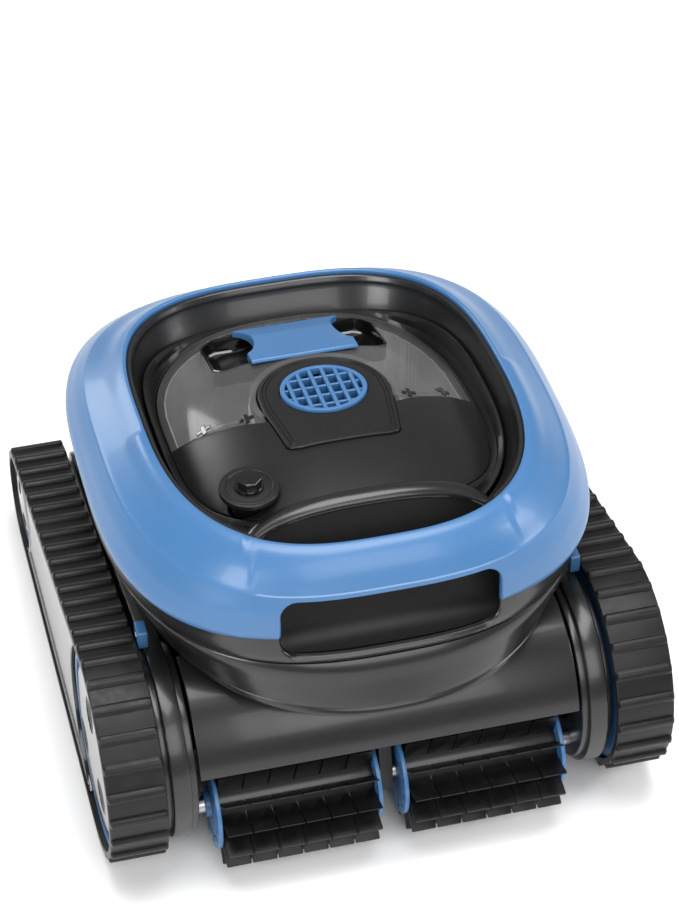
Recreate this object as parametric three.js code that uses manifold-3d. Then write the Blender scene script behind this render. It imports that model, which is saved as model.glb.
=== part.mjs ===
// A cordless pool-cleaning robot: two ribbed tracks, twin front rollers, a carry handle moulded
// into the top cover and a lift-out filter basket wrapped around a central pump column.
// Millimetres, +Z up, front of the robot towards -Y, left-right across X.

import * as THREE from "three";
import { mergeVertices } from "three/addons/utils/BufferGeometryUtils.js";
import Module from "manifold-3d";

const wasm = await Module();
wasm.setup();

// ---------- Driving dimensions ----------
const WIDTH = 400; // across the outer faces of the tracks
const WHEELBASE = 305; // front axle to rear axle
const TRACK_WIDTH = 41;
const FRONT_TREAD_R = 79.2; // to the rib tops
const REAR_TREAD_R = 42.5;
const RIB_HEIGHT = 3;
const BELT_THICKNESS = 5;
const RIB_COUNT = 48;

const GAP = 0.3; // between pieces that touch
const RUNNING_GAP = 0.6; // between pieces that turn past each other
const WALL = 3; // moulded shells

const TOP = 264.3; // crown of the deck
const CROWN_Y = 55; // where the deck is highest
const DECK_SIDE_DROP = 36; // crown to deck edge, at the sides
const DECK_REAR_DROP = 48; // crown to deck edge, at the rear
const LIP_Z = 148.6; // underside of the front brow
const SEAM_Z = 188;
const BAND_TOP_Z = 211;
const BELLY_Z = 21;

const PUMP_Y = 129; // pump column, measured from the front axle
const PAD_R = 46;
const PAD_FRONT_Y = 67;
const GRILLE_R = 30.5;
const COLUMN_R = 39;
const IMPELLER_R = 32;
const MOTOR_R = 24;

const HAND_HALF = 75; // half width of the hand opening
const HAND_LOW_Z = 194;
const HAND_HIGH_Z = 242;
const SCOOP_REAR_Y = 6;

const ROLLER_Y = -40;
const ROLLER_Z = 47;
const ROLLER_R = 46.4;
const ROLLER_CORE_R = 20.5;
const ROLLER_FINS = 14;
const ROLLER_FIN = 1.6;
const FIN_PHASE = THREE.MathUtils.degToRad(139); // one fin points forwards and up
const ROLLER_INNER_X = 7.9;
const ROLLER_OUTER_X = 124.4;
const ROLLER_DISC_R = 32;
const ROLLER_DISC = 3;

const POD_INNER_X = 136; // drive pods, from the body to the tracks
const POD_R = 70;
const POD_REAR_R = 32;
const HOOD_R = 67;
const AXLE_R = 6;
const SKIRT_REACH = 3; // skirt edge to wheel rim
const RIM_WALL = 4.5; // wheel rim, round the hub cap

const LID_CORNER_X = 46; // where the lid's front edge meets the pump pad
const LID_CORNER_Y = 105.5;
const LID_SWEEP = 0.4; // how far the lid's front edge runs back per unit outwards
const LID_THICKNESS = 2.6;
const BASKET_WALL = 2.4;
const HANDLE_HALF = 39;
const HANDLE_FRONT_Y = 181;
const HANDLE_CREASE_Y = 226;
const HANDLE_REAR_Y = 249;
const BOWL_HALF = 65; // outer ends of the finger bowls
const BOWL_DEPTH = 16;

const INTAKE_HALF = 60;
const INTAKE_Y0 = PUMP_Y + 62;
const INTAKE_Y1 = PUMP_Y + 92;

const CAP_X = -74;
const CAP_Y = 38;
const CAP_R = 20.5;
const CAP_SEAT = 7.7; // underside of the cap above the deck at its centre

// ---------- Places that follow from them ----------
const HALF = WIDTH / 2;
const TRACK_INNER = HALF - TRACK_WIDTH;
const MID_Y = 0.452 * WHEELBASE; // widest station of the body
const DECK_SIDE = TRACK_INNER - 49.5;
const DECK_REAR = WHEELBASE - 41;
const SHELL_STEPS = 36; // points round a body outline
const ROUND_STEPS = 24; // sides of a large round piece

// ---------- Materials ----------
const finish = (color, roughness, metalness = 0) =>
  new THREE.MeshStandardMaterial({ color, roughness, metalness });
const BLUE = () => finish(0x4f8ac6, 0.32);
const SATIN_BLACK = () => finish(0x1b1b1c, 0.42);
const GLOSS_BLACK = () => finish(0x0d0d0e, 0.16);
const RUBBER = () => finish(0x141414, 0.72);
const SMOKED = () => {
  const m = finish(0x4a4a4a, 0.12);
  m.transparent = true;
  m.opacity = 0.45;
  return m;
};
const MESH_CLOTH = () => finish(0xc8c8c6, 0.85);
const STEEL = () => finish(0xa5a8ab, 0.3, 1);
const CELL = () => finish(0x31566f, 0.5);
const BOARD = () => finish(0x1d5a37, 0.5);

// ---------- Shape helpers ----------
// The domed surface shared by deck, pad and lid.
function deckZ(x, y) {
  const side = DECK_SIDE_DROP * Math.abs(x / DECK_SIDE) ** 2.64;
  const along = DECK_REAR_DROP * ((y - CROWN_Y) / (DECK_REAR - CROWN_Y)) ** 2;
  return TOP - side - along;
}

// A smooth curve through three heights: at the front, the middle and the rear.
function heights(front, middle, rear, zFront, zMiddle, zRear) {
  return (x, y) => {
    const a = ((y - middle) * (y - rear)) / ((front - middle) * (front - rear));
    const b = ((y - front) * (y - rear)) / ((middle - front) * (middle - rear));
    const c = ((y - front) * (y - middle)) / ((rear - front) * (rear - middle));
    return a * zFront + b * zMiddle + c * zRear;
  };
}

// A rounded-square outline, anticlockwise from above, widest at MID_Y.
function ring({ side, front, rear, z, blunt = 2.9, bluntRear = 3 }) {
  const height = Array.isArray(z) ? heights(front, MID_Y, rear, ...z) : z;
  const points = [];
  for (let i = 0; i < SHELL_STEPS; i += 1) {
    const t = (2 * Math.PI * i) / SHELL_STEPS;
    const c = Math.cos(t);
    const s = Math.sin(t);
    const power = 2 / (s < 0 ? blunt : bluntRear);
    const reach = s < 0 ? MID_Y - front : rear - MID_Y;
    const x = side * Math.sign(c) * Math.abs(c) ** power;
    const y = MID_Y + reach * Math.sign(s) * Math.abs(s) ** power;
    const level = typeof height === "function" ? height(x, y) : height;
    points.push(new THREE.Vector3(x, y, level));
  }
  return points;
}

function centreOf(points) {
  const sum = points.reduce((total, p) => total.add(p), new THREE.Vector3());
  return sum.divideScalar(points.length);
}

// Skins a stack of outlines: going up the outside and down the inside when it is hollow,
// closed on itself ("loop") or with a cap at each end.
function loft(rings, loop = false) {
  const count = rings[0].length;
  const vertices = rings.flat();
  const index = [];
  const last = loop ? rings.length : rings.length - 1;
  for (let r = 0; r < last; r += 1) {
    const low = r * count;
    const high = ((r + 1) % rings.length) * count;
    for (let i = 0; i < count; i += 1) {
      const next = (i + 1) % count;
      index.push(low + i, low + next, high + next, low + i, high + next, high + i);
    }
  }
  if (!loop) {
    const first = vertices.length;
    vertices.push(centreOf(rings[0]), centreOf(rings.at(-1)));
    const top = (rings.length - 1) * count;
    for (let i = 0; i < count; i += 1) {
      const next = (i + 1) % count;
      index.push(first, next, i, first + 1, top + i, top + next);
    }
  }
  const geometry = new THREE.BufferGeometry().setFromPoints(vertices);
  geometry.setIndex(index);
  return geometry;
}

function toSolid(geometry) {
  const bare = geometry.clone();
  bare.deleteAttribute("normal");
  bare.deleteAttribute("uv");
  const merged = mergeVertices(bare, 1e-4);
  const vertProperties = new Float32Array(merged.attributes.position.array);
  const triVerts = new Uint32Array(merged.index.array);
  return new wasm.Manifold(new wasm.Mesh({ numProp: 3, vertProperties, triVerts }));
}

function toGeometry(solid) {
  const mesh = solid.getMesh();
  const geometry = new THREE.BufferGeometry();
  geometry.setAttribute("position", new THREE.BufferAttribute(mesh.vertProperties, 3));
  geometry.setIndex(new THREE.BufferAttribute(mesh.triVerts, 1));
  return geometry;
}

// The first geometry with the "add" list joined to it and the "cut" list taken away.
function carve(base, { add = [], cut = [], keep = [] }) {
  let solid = toSolid(base);
  for (const extra of add) solid = solid.add(toSolid(extra));
  for (const tool of cut) solid = solid.subtract(toSolid(tool));
  for (const limit of keep) solid = solid.intersect(toSolid(limit));
  return toGeometry(solid);
}

// A box between two corners.
function box(x0, x1, y0, y1, z0, z1) {
  const geometry = new THREE.BoxGeometry(x1 - x0, y1 - y0, z1 - z0);
  return geometry.translate((x0 + x1) / 2, (y0 + y1) / 2, (z0 + z1) / 2);
}

function outline(points) {
  return new THREE.Shape(points.map(([x, y]) => new THREE.Vector2(x, y)));
}

// A plan outline raised from z0 to z1.
function prism(shape, z0, z1, curveSegments = 12) {
  const settings = { depth: z1 - z0, bevelEnabled: false, curveSegments };
  return new THREE.ExtrudeGeometry(shape, settings).translate(0, 0, z0);
}

// A side outline, drawn in Y and Z, carried across from x0 to x1.
function crosswise(shape, x0, x1, curveSegments = 12) {
  const settings = { depth: x1 - x0, bevelEnabled: false, curveSegments };
  const turn = new THREE.Matrix4().makeBasis(
    new THREE.Vector3(0, 1, 0),
    new THREE.Vector3(0, 0, 1),
    new THREE.Vector3(1, 0, 0),
  );
  return new THREE.ExtrudeGeometry(shape, settings).applyMatrix4(turn).translate(x0, 0, 0);
}

// A turned piece about the X axis, from a closed [x, radius] profile.
function turnedX(profile, steps = ROUND_STEPS) {
  const points = profile.map(([x, r]) => new THREE.Vector2(r, x));
  return new THREE.LatheGeometry(points, steps).rotateZ(-Math.PI / 2);
}

// A turned piece about the Z axis, from a closed [z, radius] profile.
function turnedZ(profile, steps = ROUND_STEPS) {
  const points = profile.map(([z, r]) => new THREE.Vector2(r, z));
  return new THREE.LatheGeometry(points, steps).rotateX(Math.PI / 2);
}

function drumX(x0, x1, r, steps = ROUND_STEPS) {
  return turnedX([[x0, 0], [x0, r], [x1, r], [x1, 0]], steps);
}

function drumZ(z0, z1, r, steps = ROUND_STEPS) {
  return turnedZ([[z0, 0], [z0, r], [z1, r], [z1, 0]], steps);
}

// Reverses the faces of a mirrored or inside-out geometry so that they point out.
function facingOut(geometry) {
  const g = geometry.index ? geometry : mergeVertices(geometry);
  const p = g.attributes.position;
  const corner = [0, 1, 2].map(() => new THREE.Vector3());
  let volume = 0;
  for (let i = 0; i < g.index.count; i += 3) {
    corner.forEach((v, k) => v.fromBufferAttribute(p, g.index.getX(i + k)));
    volume += corner[0].dot(corner[1].clone().cross(corner[2]));
  }
  if (volume < 0) {
    for (let i = 0; i < g.index.count; i += 3) {
      const b = g.index.getX(i + 1);
      g.index.setX(i + 1, g.index.getX(i + 2));
      g.index.setX(i + 2, b);
    }
  }
  return g;
}

const model = new THREE.Group();

function piece(name, geometry, material, place = [0, 0, 0], parent = model) {
  const mesh = new THREE.Mesh(facingOut(geometry), material);
  mesh.geometry.computeVertexNormals();
  mesh.name = name;
  mesh.position.set(...place);
  parent.add(mesh);
  return mesh;
}

// ---------- Body outlines, used by the shells that share a joint line ----------
const LID_SIDE = DECK_SIDE;
const WELL_BLUNT = 3.4; // how square the rear of the lid and basket is
const BASE_SIDE = DECK_SIDE + 9.1; // foot of the inner wall
const RIM_SIDE = TRACK_INNER - 30.5; // inner edge of the top cover
const RIM_FRONT = -36;
const RIM_REAR = WHEELBASE - 7;
const RIM_BLUNT = 2.81;
const BASE_FRONT = -6;
const BASE_REAR = WHEELBASE - 26;
const BASE_Z = [240, 236.6, 205];
const RIM_Z = [268.2, 253.2, 226];
const SIDE = TRACK_INNER + 9; // body at the seam
const SEAM_FRONT = -65;
const SEAM_REAR = WHEELBASE + 21;
const raised = (levels, rise) => levels.map((z) => z + rise);

// The outline of the lid, the well and the basket, drawn smaller by "inset".
function wellOutline(inset) {
  const side = LID_SIDE - inset;
  const rear = DECK_REAR - inset;
  return ring({ side, front: BASE_FRONT, rear, z: 0, bluntRear: WELL_BLUNT });
}

function fullSlab(points, z0, z1) {
  return loft([points.map((p) => p.clone().setZ(z0)), points.map((p) => p.clone().setZ(z1))]);
}

// Everything behind the lid's front edge and outside the pump pad.
function behindFrontEdge(setback, z0, z1) {
  const far = HALF;
  const back = WHEELBASE + 60;
  const y = LID_CORNER_Y + setback;
  const outer = y + LID_SWEEP * (far - LID_CORNER_X);
  const points = [[-far, outer], [-LID_CORNER_X, y], [LID_CORNER_X, y], [far, outer]];
  return prism(outline([...points, [far, back], [-far, back]]), z0, z1);
}

// The pump pad: square-fronted, round behind.
function padShape(grow) {
  const shape = new THREE.Shape();
  const half = 40 + grow;
  const front = PAD_FRONT_Y - grow;
  const r = PAD_R + grow;
  const corner = 9;
  shape.moveTo(-half + corner, front);
  shape.lineTo(half - corner, front);
  shape.quadraticCurveTo(half, front, half + 0.5, front + corner);
  shape.lineTo(r, PUMP_Y - 14);
  shape.lineTo(r, PUMP_Y);
  shape.absarc(0, PUMP_Y, r, 0, Math.PI, false);
  shape.lineTo(-r, PUMP_Y - 14);
  shape.lineTo(-half - 0.5, front + corner);
  shape.quadraticCurveTo(-half, front, -half + corner, front);
  return shape;
}

// A domed plate of the given outline: its top lies "rise" above the deck surface.
function domedPlate(edge, rise, thickness) {
  const shares = [1, 0.82, 0.58, 0.28];
  const centre = new THREE.Vector3(0, MID_Y, 0);
  const layer = (offset) =>
    shares.map((share) =>
      edge.map((p) => {
        const x = centre.x + share * (p.x - centre.x);
        const y = centre.y + share * (p.y - centre.y);
        return new THREE.Vector3(x, y, deckZ(x, y) + offset);
      }),
    );
  const under = layer(rise - thickness).reverse();
  return loft([...under, ...layer(rise)]);
}

// ---------- Lower body ----------
const floorZ = BELLY_Z + WALL + GAP; // what stands on the inside of the belly
const hull = POD_INNER_X - GAP; // half width of the body between the pods
function lowerTub() {
  const rings = [
    ring({ side: hull - 13, front: 28, rear: SEAM_REAR - 38, z: BELLY_Z, blunt: 5 }),
    ring({ side: hull - 3, front: 17, rear: SEAM_REAR - 26, z: BELLY_Z + 8, blunt: 7 }),
    ring({ side: hull, front: 14, rear: SEAM_REAR - 20, z: 80, blunt: 8 }),
    ring({ side: hull, front: 14, rear: SEAM_REAR - 17, z: LIP_Z - 1, blunt: 8 }),
    ring({ side: SIDE - 14, front: -79, rear: SEAM_REAR - 4, z: LIP_Z - 1, blunt: 2.25 }),
    ring({ side: SIDE - 12, front: -81, rear: SEAM_REAR - 3, z: LIP_Z + 1, blunt: 2.25 }),
    ring({ side: SIDE - 5, front: -72, rear: SEAM_REAR - 1, z: LIP_Z + 22, blunt: 2.5 }),
    ring({ side: SIDE, front: SEAM_FRONT, rear: SEAM_REAR, z: SEAM_Z - GAP, blunt: 2.7 }),
    ring({ side: SIDE - WALL, front: -62, rear: SEAM_REAR - 3, z: SEAM_Z - GAP, blunt: 2.7 }),
    ring({ side: SIDE - 8, front: -69, rear: SEAM_REAR - 4, z: LIP_Z + 22, blunt: 2.5 }),
    ring({ side: SIDE - 15, front: -76, rear: SEAM_REAR - 6, z: LIP_Z + 3, blunt: 2.25 }),
    ring({ side: hull + 3, front: 11, rear: SEAM_REAR - 14, z: LIP_Z + 2.5, blunt: 8 }),
    ring({ side: hull - WALL, front: 17, rear: SEAM_REAR - 20, z: LIP_Z - 2, blunt: 8 }),
    ring({ side: hull - WALL, front: 17, rear: SEAM_REAR - 23, z: 80, blunt: 8 }),
    ring({ side: hull - 6, front: 20, rear: SEAM_REAR - 29, z: BELLY_Z + 9, blunt: 7 }),
    ring({ side: hull - 15, front: 31, rear: SEAM_REAR - 40, z: BELLY_Z + WALL, blunt: 5 }),
  ];
  const mouth = box(-INTAKE_HALF, INTAKE_HALF, INTAKE_Y0, INTAKE_Y1, BELLY_Z - 5, BELLY_Z + 9);
  return carve(loft(rings), { cut: [mouth] });
}

piece("lower_tub", lowerTub(), SATIN_BLACK());

// A nozzle frame round the suction mouth, just above the floor.
const nozzle = carve(
  box(-INTAKE_HALF - 9, INTAKE_HALF + 9, INTAKE_Y0 - 9, INTAKE_Y1 + 9, 13, BELLY_Z - GAP),
  { cut: [box(-INTAKE_HALF, INTAKE_HALF, INTAKE_Y0, INTAKE_Y1, 10, BELLY_Z + 2)] },
);
piece("intake_nozzle", nozzle, SATIN_BLACK());

function upperBand() {
  const low = SEAM_Z;
  const high = BAND_TOP_Z - GAP;
  const rings = [
    ring({ side: SIDE + 0.6, front: SEAM_FRONT, rear: SEAM_REAR + 1, z: low, blunt: 2.7 }),
    ring({ side: SIDE + 2.5, front: SEAM_FRONT + 2.6, rear: SEAM_REAR + 3, z: high, blunt: 2.9 }),
    ring({ side: SIDE - 1, front: SEAM_FRONT + 6, rear: SEAM_REAR - 0.5, z: high, blunt: 2.9 }),
    ring({ side: SIDE - 2.6, front: SEAM_FRONT + 3.2, rear: SEAM_REAR - 2.4, z: low, blunt: 2.7 }),
  ];
  return carve(loft(rings, true), { cut: [handHole(0)] });
}

// The through hole for a hand in the front of the band and cover.
function handHole(grow) {
  const r = 12;
  const x = HAND_HALF + grow;
  const low = HAND_LOW_Z - grow;
  const high = HAND_HIGH_Z + grow;
  const shape = new THREE.Shape();
  shape.moveTo(-x + r, low);
  shape.lineTo(x - r, low);
  shape.absarc(x - r, low + r, r, -Math.PI / 2, 0, false);
  shape.absarc(x - r, high - r, r, 0, Math.PI / 2, false);
  shape.absarc(-x + r, high - r, r, Math.PI / 2, Math.PI, false);
  shape.absarc(-x + r, low + r, r, Math.PI, 1.5 * Math.PI, false);
  const settings = { depth: 60, bevelEnabled: false, curveSegments: 4 };
  return new THREE.ExtrudeGeometry(shape, settings).rotateX(Math.PI / 2).translate(0, -40, 0);
}

piece("upper_band", upperBand(), SATIN_BLACK());

// ---------- Blue top cover with the carry handle ----------
// The cover's inner face, from its foot up to the back of the rim, drawn smaller by "inset".
function coverLining(inset) {
  const at = (side, front, rear, z, blunt) =>
    ring({ side: side - inset, front: front + inset, rear: rear - inset, z, blunt });
  return [
    at(SIDE + 1, -59, SEAM_REAR + 1.5, BAND_TOP_Z, 3.1),
    at(SIDE - 13, -58, SEAM_REAR - 9, raised([244, 232, 217], -inset), 2.9),
    at(SIDE - 26, -49, SEAM_REAR - 19, raised([260, 243, 222.5], -inset), 2.85),
    at(RIM_SIDE + 6, -43, SEAM_REAR - 23, raised(RIM_Z, -3.5 - inset), 2.82),
  ];
}

const rimRing = (inset, rise) =>
  ring({
    side: RIM_SIDE - inset,
    front: RIM_FRONT + inset,
    rear: RIM_REAR - inset,
    z: raised(RIM_Z, rise),
    blunt: RIM_BLUNT,
  });

// The room inside the band and cover.
function insideShell() {
  const clear = 2 * GAP;
  const foot = (z) =>
    ring({
      side: SIDE - 2.6 - clear,
      front: SEAM_FRONT + 6 + clear,
      rear: SEAM_REAR - 3 - clear,
      z,
      blunt: 2.7,
    });
  return loft([foot(SEAM_Z - 30), foot(BAND_TOP_Z - GAP), ...coverLining(clear)]);
}

function topCover() {
  const side = SIDE;
  const rear = SEAM_REAR;
  const rings = [
    ring({ side: side + 4.5, front: -62.5, rear: rear + 5, z: BAND_TOP_Z, blunt: 3.1 }),
    ring({ side: side, front: -64.5, rear: rear + 1, z: BAND_TOP_Z + 17, blunt: 3 }),
    ring({ side: side - 10, front: -61, rear: rear - 6, z: [246, 236, 221], blunt: 2.9 }),
    ring({ side: side - 24, front: -51, rear: rear - 17, z: [263, 246.5, 226], blunt: 2.85 }),
    rimRing(-3.5, 1.6),
    rimRing(0, 0),
    rimRing(0, -4),
    ...coverLining(0).reverse(),
  ];
  return carve(loft(rings, true), { cut: [handHole(0)] });
}

piece("top_cover", topCover(), BLUE());

// ---------- Black inner wall, rim of the well, deck ----------
function handScoopCavity(grow) {
  const y0 = SCOOP_REAR_Y + grow;
  const low = HAND_LOW_Z - grow;
  const points = [[-90, low], [-42, low], [-22 + grow, low + 14], [y0 - 6, 238], [y0, 256]];
  return [...points, [y0, 300], [-90, 300]];
}

const scoopHalf = HAND_HALF + 2 * WALL;
const scoopClearance = () =>
  crosswise(outline(handScoopCavity(WALL + GAP)), -scoopHalf - GAP, scoopHalf + GAP);

function innerWall() {
  const foot = raised(BASE_Z, -5);
  const rings = [
    ring({ side: BASE_SIDE + 3, front: BASE_FRONT - 3, rear: BASE_REAR + 3, z: foot }),
    rimRing(GAP, -1.2),
    rimRing(2.6, -1.2),
    ring({ side: BASE_SIDE + 0.6, front: BASE_FRONT - 0.6, rear: BASE_REAR + 0.6, z: foot }),
  ];
  return carve(loft(rings, true), { cut: [scoopClearance()] });
}

piece("inner_wall", innerWall(), SATIN_BLACK());

const baseEdge = (shrink, rise) =>
  ring({
    side: BASE_SIDE - shrink,
    front: BASE_FRONT + shrink,
    rear: BASE_REAR - shrink,
    z: raised(BASE_Z, rise),
  });
const deckEdge = (grow, rise) =>
  ring({
    side: DECK_SIDE + grow,
    front: BASE_FRONT + 8 - grow,
    rear: DECK_REAR + grow,
    z: (x, y) => deckZ(x, y) + rise,
    bluntRear: WELL_BLUNT,
  });

function wellRim() {
  const rings = [deckEdge(GAP, -2.4), baseEdge(0, -2.4), baseEdge(0, 0), deckEdge(GAP, 0)];
  return carve(loft(rings, true), { cut: [scoopClearance()] });
}

piece("well_rim", wellRim(), GLOSS_BLACK());

const slab = (grow) => prism(padShape(grow), 100, 300, 8);
const deckPlate = carve(domedPlate(deckEdge(0, 0), 0, WALL), {
  cut: [
    behindFrontEdge(-GAP, 100, 300),
    slab(GAP),
    scoopClearance(),
    drumZ(200, 300, CAP_R - 6, 24).translate(CAP_X, CAP_Y, 0),
  ],
});
piece("deck_plate", deckPlate, SATIN_BLACK());

const grilleTilt = -Math.atan((2 * DECK_REAR_DROP * (PUMP_Y - CROWN_Y)) / (DECK_REAR - CROWN_Y) ** 2);
const grilleZ = deckZ(0, PUMP_Y) + 2.4;
const pad = carve(domedPlate(deckEdge(0, 0), 1.4, 5), {
  keep: [slab(0)],
  cut: [drumZ(-20, 20, GRILLE_R + GAP, 32).rotateX(grilleTilt).translate(0, PUMP_Y, grilleZ)],
});
piece("pump_pad", pad, SATIN_BLACK());

// ---------- Outlet grille: a ring with tall slats over low cross slats ----------
function outletGrille() {
  const rim = turnedZ(
    [[-6, GRILLE_R], [-1.5, GRILLE_R], [0, GRILLE_R - 1.2], [0, GRILLE_R - 3.4], [-6, GRILLE_R - 3.4],
      [-6, GRILLE_R]],
    24,
  );
  const slats = [];
  const reach = GRILLE_R - 2.6;
  for (let i = -2.5; i <= 2.5; i += 1) {
    const x = i * 9;
    const half = Math.sqrt(reach ** 2 - x ** 2);
    slats.push(box(x - 1, x + 1, -half, half, -5.6, -0.4));
  }
  for (let i = -1.5; i <= 1.5; i += 1) {
    const y = i * 12;
    const half = Math.sqrt(reach ** 2 - y ** 2);
    slats.push(box(-half, half, y - 0.9, y + 0.9, -5.9, -2.8));
  }
  return carve(rim, { add: slats });
}

const grille = piece("outlet_grille", outletGrille(), BLUE(), [0, PUMP_Y, grilleZ]);
grille.rotation.x = grilleTilt;

// ---------- Hand scoop behind the handle, and the bar's inner liner ----------
function handScoop() {
  const skin = crosswise(outline(handScoopCavity(WALL)), -scoopHalf, scoopHalf);
  const hollow = crosswise(outline(handScoopCavity(0)), -scoopHalf + WALL, scoopHalf - WALL);
  const underDeck = domedPlate(deckEdge(12, 0), -0.2, 120);
  const front = box(-HALF, HALF, -80, SCOOP_REAR_Y + WALL, HAND_LOW_Z - WALL, 238);
  const rear = box(-HALF, HALF, -14, SCOOP_REAR_Y + WALL, 200, 300);
  const room = carve(front, { add: [carve(rear, { keep: [underDeck] })] });
  return carve(skin, { cut: [hollow], keep: [room, insideShell()] });
}

piece("hand_scoop", handScoop(), SATIN_BLACK());

const gripLiner = () => {
  const under = HAND_HIGH_Z + 1;
  const shape = outline([[-55.5, under], [-40, under], [-39, 258], [-47, 257]]);
  return carve(crosswise(shape, -HAND_HALF + 2, HAND_HALF - 2), { keep: [insideShell()] });
};
piece("grip_liner", gripLiner(), SATIN_BLACK());

// ---------- Charging port: socket under the deck, cap on top ----------
const capZ = deckZ(CAP_X, CAP_Y);
const socket = turnedZ(
  [[-22, 0], [-22, CAP_R - 7.5], [1, CAP_R - 7.5], [1, CAP_R - 10.5], [-12, CAP_R - 10.5], [-12, 0]],
  24,
);
piece("charging_socket", socket, GLOSS_BLACK(), [CAP_X, CAP_Y, capZ]);

function chargingCap() {
  const profile = [
    [CAP_SEAT, 0],
    [CAP_SEAT, CAP_R - 1],
    [CAP_SEAT + 1, CAP_R],
    [CAP_SEAT + 3, CAP_R],
    [CAP_SEAT + 4.2, CAP_R - 1.4],
    [CAP_SEAT + 4.2, 0],
  ];
  const disc = turnedZ(profile);
  const collar = drumZ(CAP_SEAT + 4, CAP_SEAT + 7, 10, 20);
  const boss = drumZ(CAP_SEAT + 6.6, CAP_SEAT + 12.6, 8.6, 8);
  const plug = drumZ(-10, CAP_SEAT + 1, CAP_R - 11.2, 16);
  return carve(disc, { add: [collar, boss, plug] });
}

piece("charging_cap", chargingCap(), GLOSS_BLACK(), [CAP_X, CAP_Y, capZ]);

// ---------- Front hood over the rollers, and the hanger between them ----------
const hoodArc = (r, from, to, steps = 14) =>
  Array.from({ length: steps + 1 }, (_, i) => {
    const a = THREE.MathUtils.degToRad(from + ((to - from) * i) / steps);
    return [r * Math.cos(a), FRONT_TREAD_R + r * Math.sin(a)];
  });
const hoodFrom = 82;
const hoodTo = 164;
const hoodProfile = [...hoodArc(HOOD_R, hoodFrom, hoodTo), ...hoodArc(HOOD_R - WALL, hoodTo, hoodFrom)];
piece("front_hood", crosswise(outline(hoodProfile), -POD_INNER_X + GAP, POD_INNER_X - GAP), GLOSS_BLACK());

const hangerHalf = ROLLER_INNER_X - 3.5;
const hangerTop = [FRONT_TREAD_R + 56, FRONT_TREAD_R + 60];
const hangerRear = 14 - GAP; // against the front wall of the body
const hanger = outline([
  [-22, hangerTop[0]],
  [hangerRear, hangerTop[1]],
  [hangerRear, 60],
  [-30, 38],
  [-50, 38],
  [-50, 56],
]);
piece(
  "roller_hanger",
  carve(crosswise(hanger, -hangerHalf, hangerHalf), {
    cut: [drumX(-20, 20, AXLE_R, 20).translate(0, ROLLER_Y, ROLLER_Z)],
  }),
  SATIN_BLACK(),
);

// ---------- Things made in left and right pairs ----------
// Built on the +X side; the left one is mirrored.
function mirrored(geometry, side) {
  return side > 0 ? geometry : geometry.scale(-1, 1, 1);
}

// The outline round the two wheels at a given distance out from their axles.
function loopOutline(frontR, rearR, steps = 22) {
  const tilt = Math.asin((frontR - rearR) / Math.hypot(WHEELBASE, FRONT_TREAD_R - REAR_TREAD_R));
  const fall = Math.atan2(FRONT_TREAD_R - REAR_TREAD_R, WHEELBASE);
  const start = Math.PI / 2 - tilt - fall;
  const end = (3 * Math.PI) / 2 + tilt - fall;
  const points = [];
  for (let i = 0; i <= steps; i += 1) {
    const a = start + ((end - start) * i) / steps;
    points.push([frontR * Math.cos(a), FRONT_TREAD_R + frontR * Math.sin(a)]);
  }
  for (let i = 0; i <= steps; i += 1) {
    const a = end + ((2 * Math.PI - (end - start)) * i) / steps;
    points.push([WHEELBASE + rearR * Math.cos(a), REAR_TREAD_R + rearR * Math.sin(a)]);
  }
  return points;
}

// The same loop carried as evenly spaced ribs: each has a foot, a flat top and a foot.
function ribbedOutline() {
  const low = new THREE.Shape(loopOutline(FRONT_TREAD_R - RIB_HEIGHT, REAR_TREAD_R - RIB_HEIGHT, 60)
    .map(([y, z]) => new THREE.Vector2(y, z)));
  low.closePath();
  const points = [];
  const place = (u, rise) => {
    const p = low.getPointAt(((u % 1) + 1) % 1);
    const t = low.getTangentAt(((u % 1) + 1) % 1);
    points.push([p.x + rise * t.y, p.y - rise * t.x]);
  };
  for (let i = 0; i < RIB_COUNT; i += 1) {
    const u = i / RIB_COUNT;
    const w = 1 / RIB_COUNT;
    place(u + 0.3 * w, 0);
    place(u + 0.39 * w, RIB_HEIGHT);
    place(u + 0.61 * w, RIB_HEIGHT);
    place(u + 0.7 * w, 0);
  }
  return points;
}

const beltInner = RIB_HEIGHT + BELT_THICKNESS;
const frontRimR = FRONT_TREAD_R - beltInner - RUNNING_GAP;
const rearRimR = REAR_TREAD_R - beltInner - RUNNING_GAP;

function beltGeometry() {
  const shape = outline(ribbedOutline());
  const hole = loopOutline(FRONT_TREAD_R - beltInner, REAR_TREAD_R - beltInner, 14);
  shape.holes.push(new THREE.Path(hole.map(([y, z]) => new THREE.Vector2(y, z))));
  return crosswise(shape, TRACK_INNER, HALF);
}

// A dished rim: a tyre-width drum, open on the outside, with a web and a bored boss.
function rimGeometry(r) {
  const inner = TRACK_INNER + 3;
  const outer = HALF - 4;
  const web = inner + 12;
  return turnedX([
    [inner, AXLE_R + 0.1],
    [inner, r],
    [outer, r],
    [outer, r - RIM_WALL],
    [web + 4, r - RIM_WALL],
    [web, r - RIM_WALL - 4],
    [web, AXLE_R + 7],
    [outer - 12, AXLE_R + 7],
    [outer - 12, AXLE_R + 0.1],
    [inner, AXLE_R + 0.1],
  ]);
}

// A domed cap with three round dishes, snapped into the open side of its rim.
function capGeometry(r) {
  const edge = HALF - 8.5;
  const face = HALF - 2.6;
  const profile = [[edge - 2.5, 0], [edge - 2.5, r], [edge, r], [face - 2, r * 0.93], [face, r * 0.74], [face + 1.2, 0]];
  const dome = turnedX(profile);
  const dishes = [];
  for (let i = 0; i < 3; i += 1) {
    const a = Math.PI / 2 + (i * 2 * Math.PI) / 3;
    const dish = drumX(face - 3, face + 9, r * 0.2, 12);
    dishes.push(dish.translate(0, r * 0.52 * Math.cos(a), r * 0.52 * Math.sin(a)));
  }
  return carve(dome, { cut: dishes });
}

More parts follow.
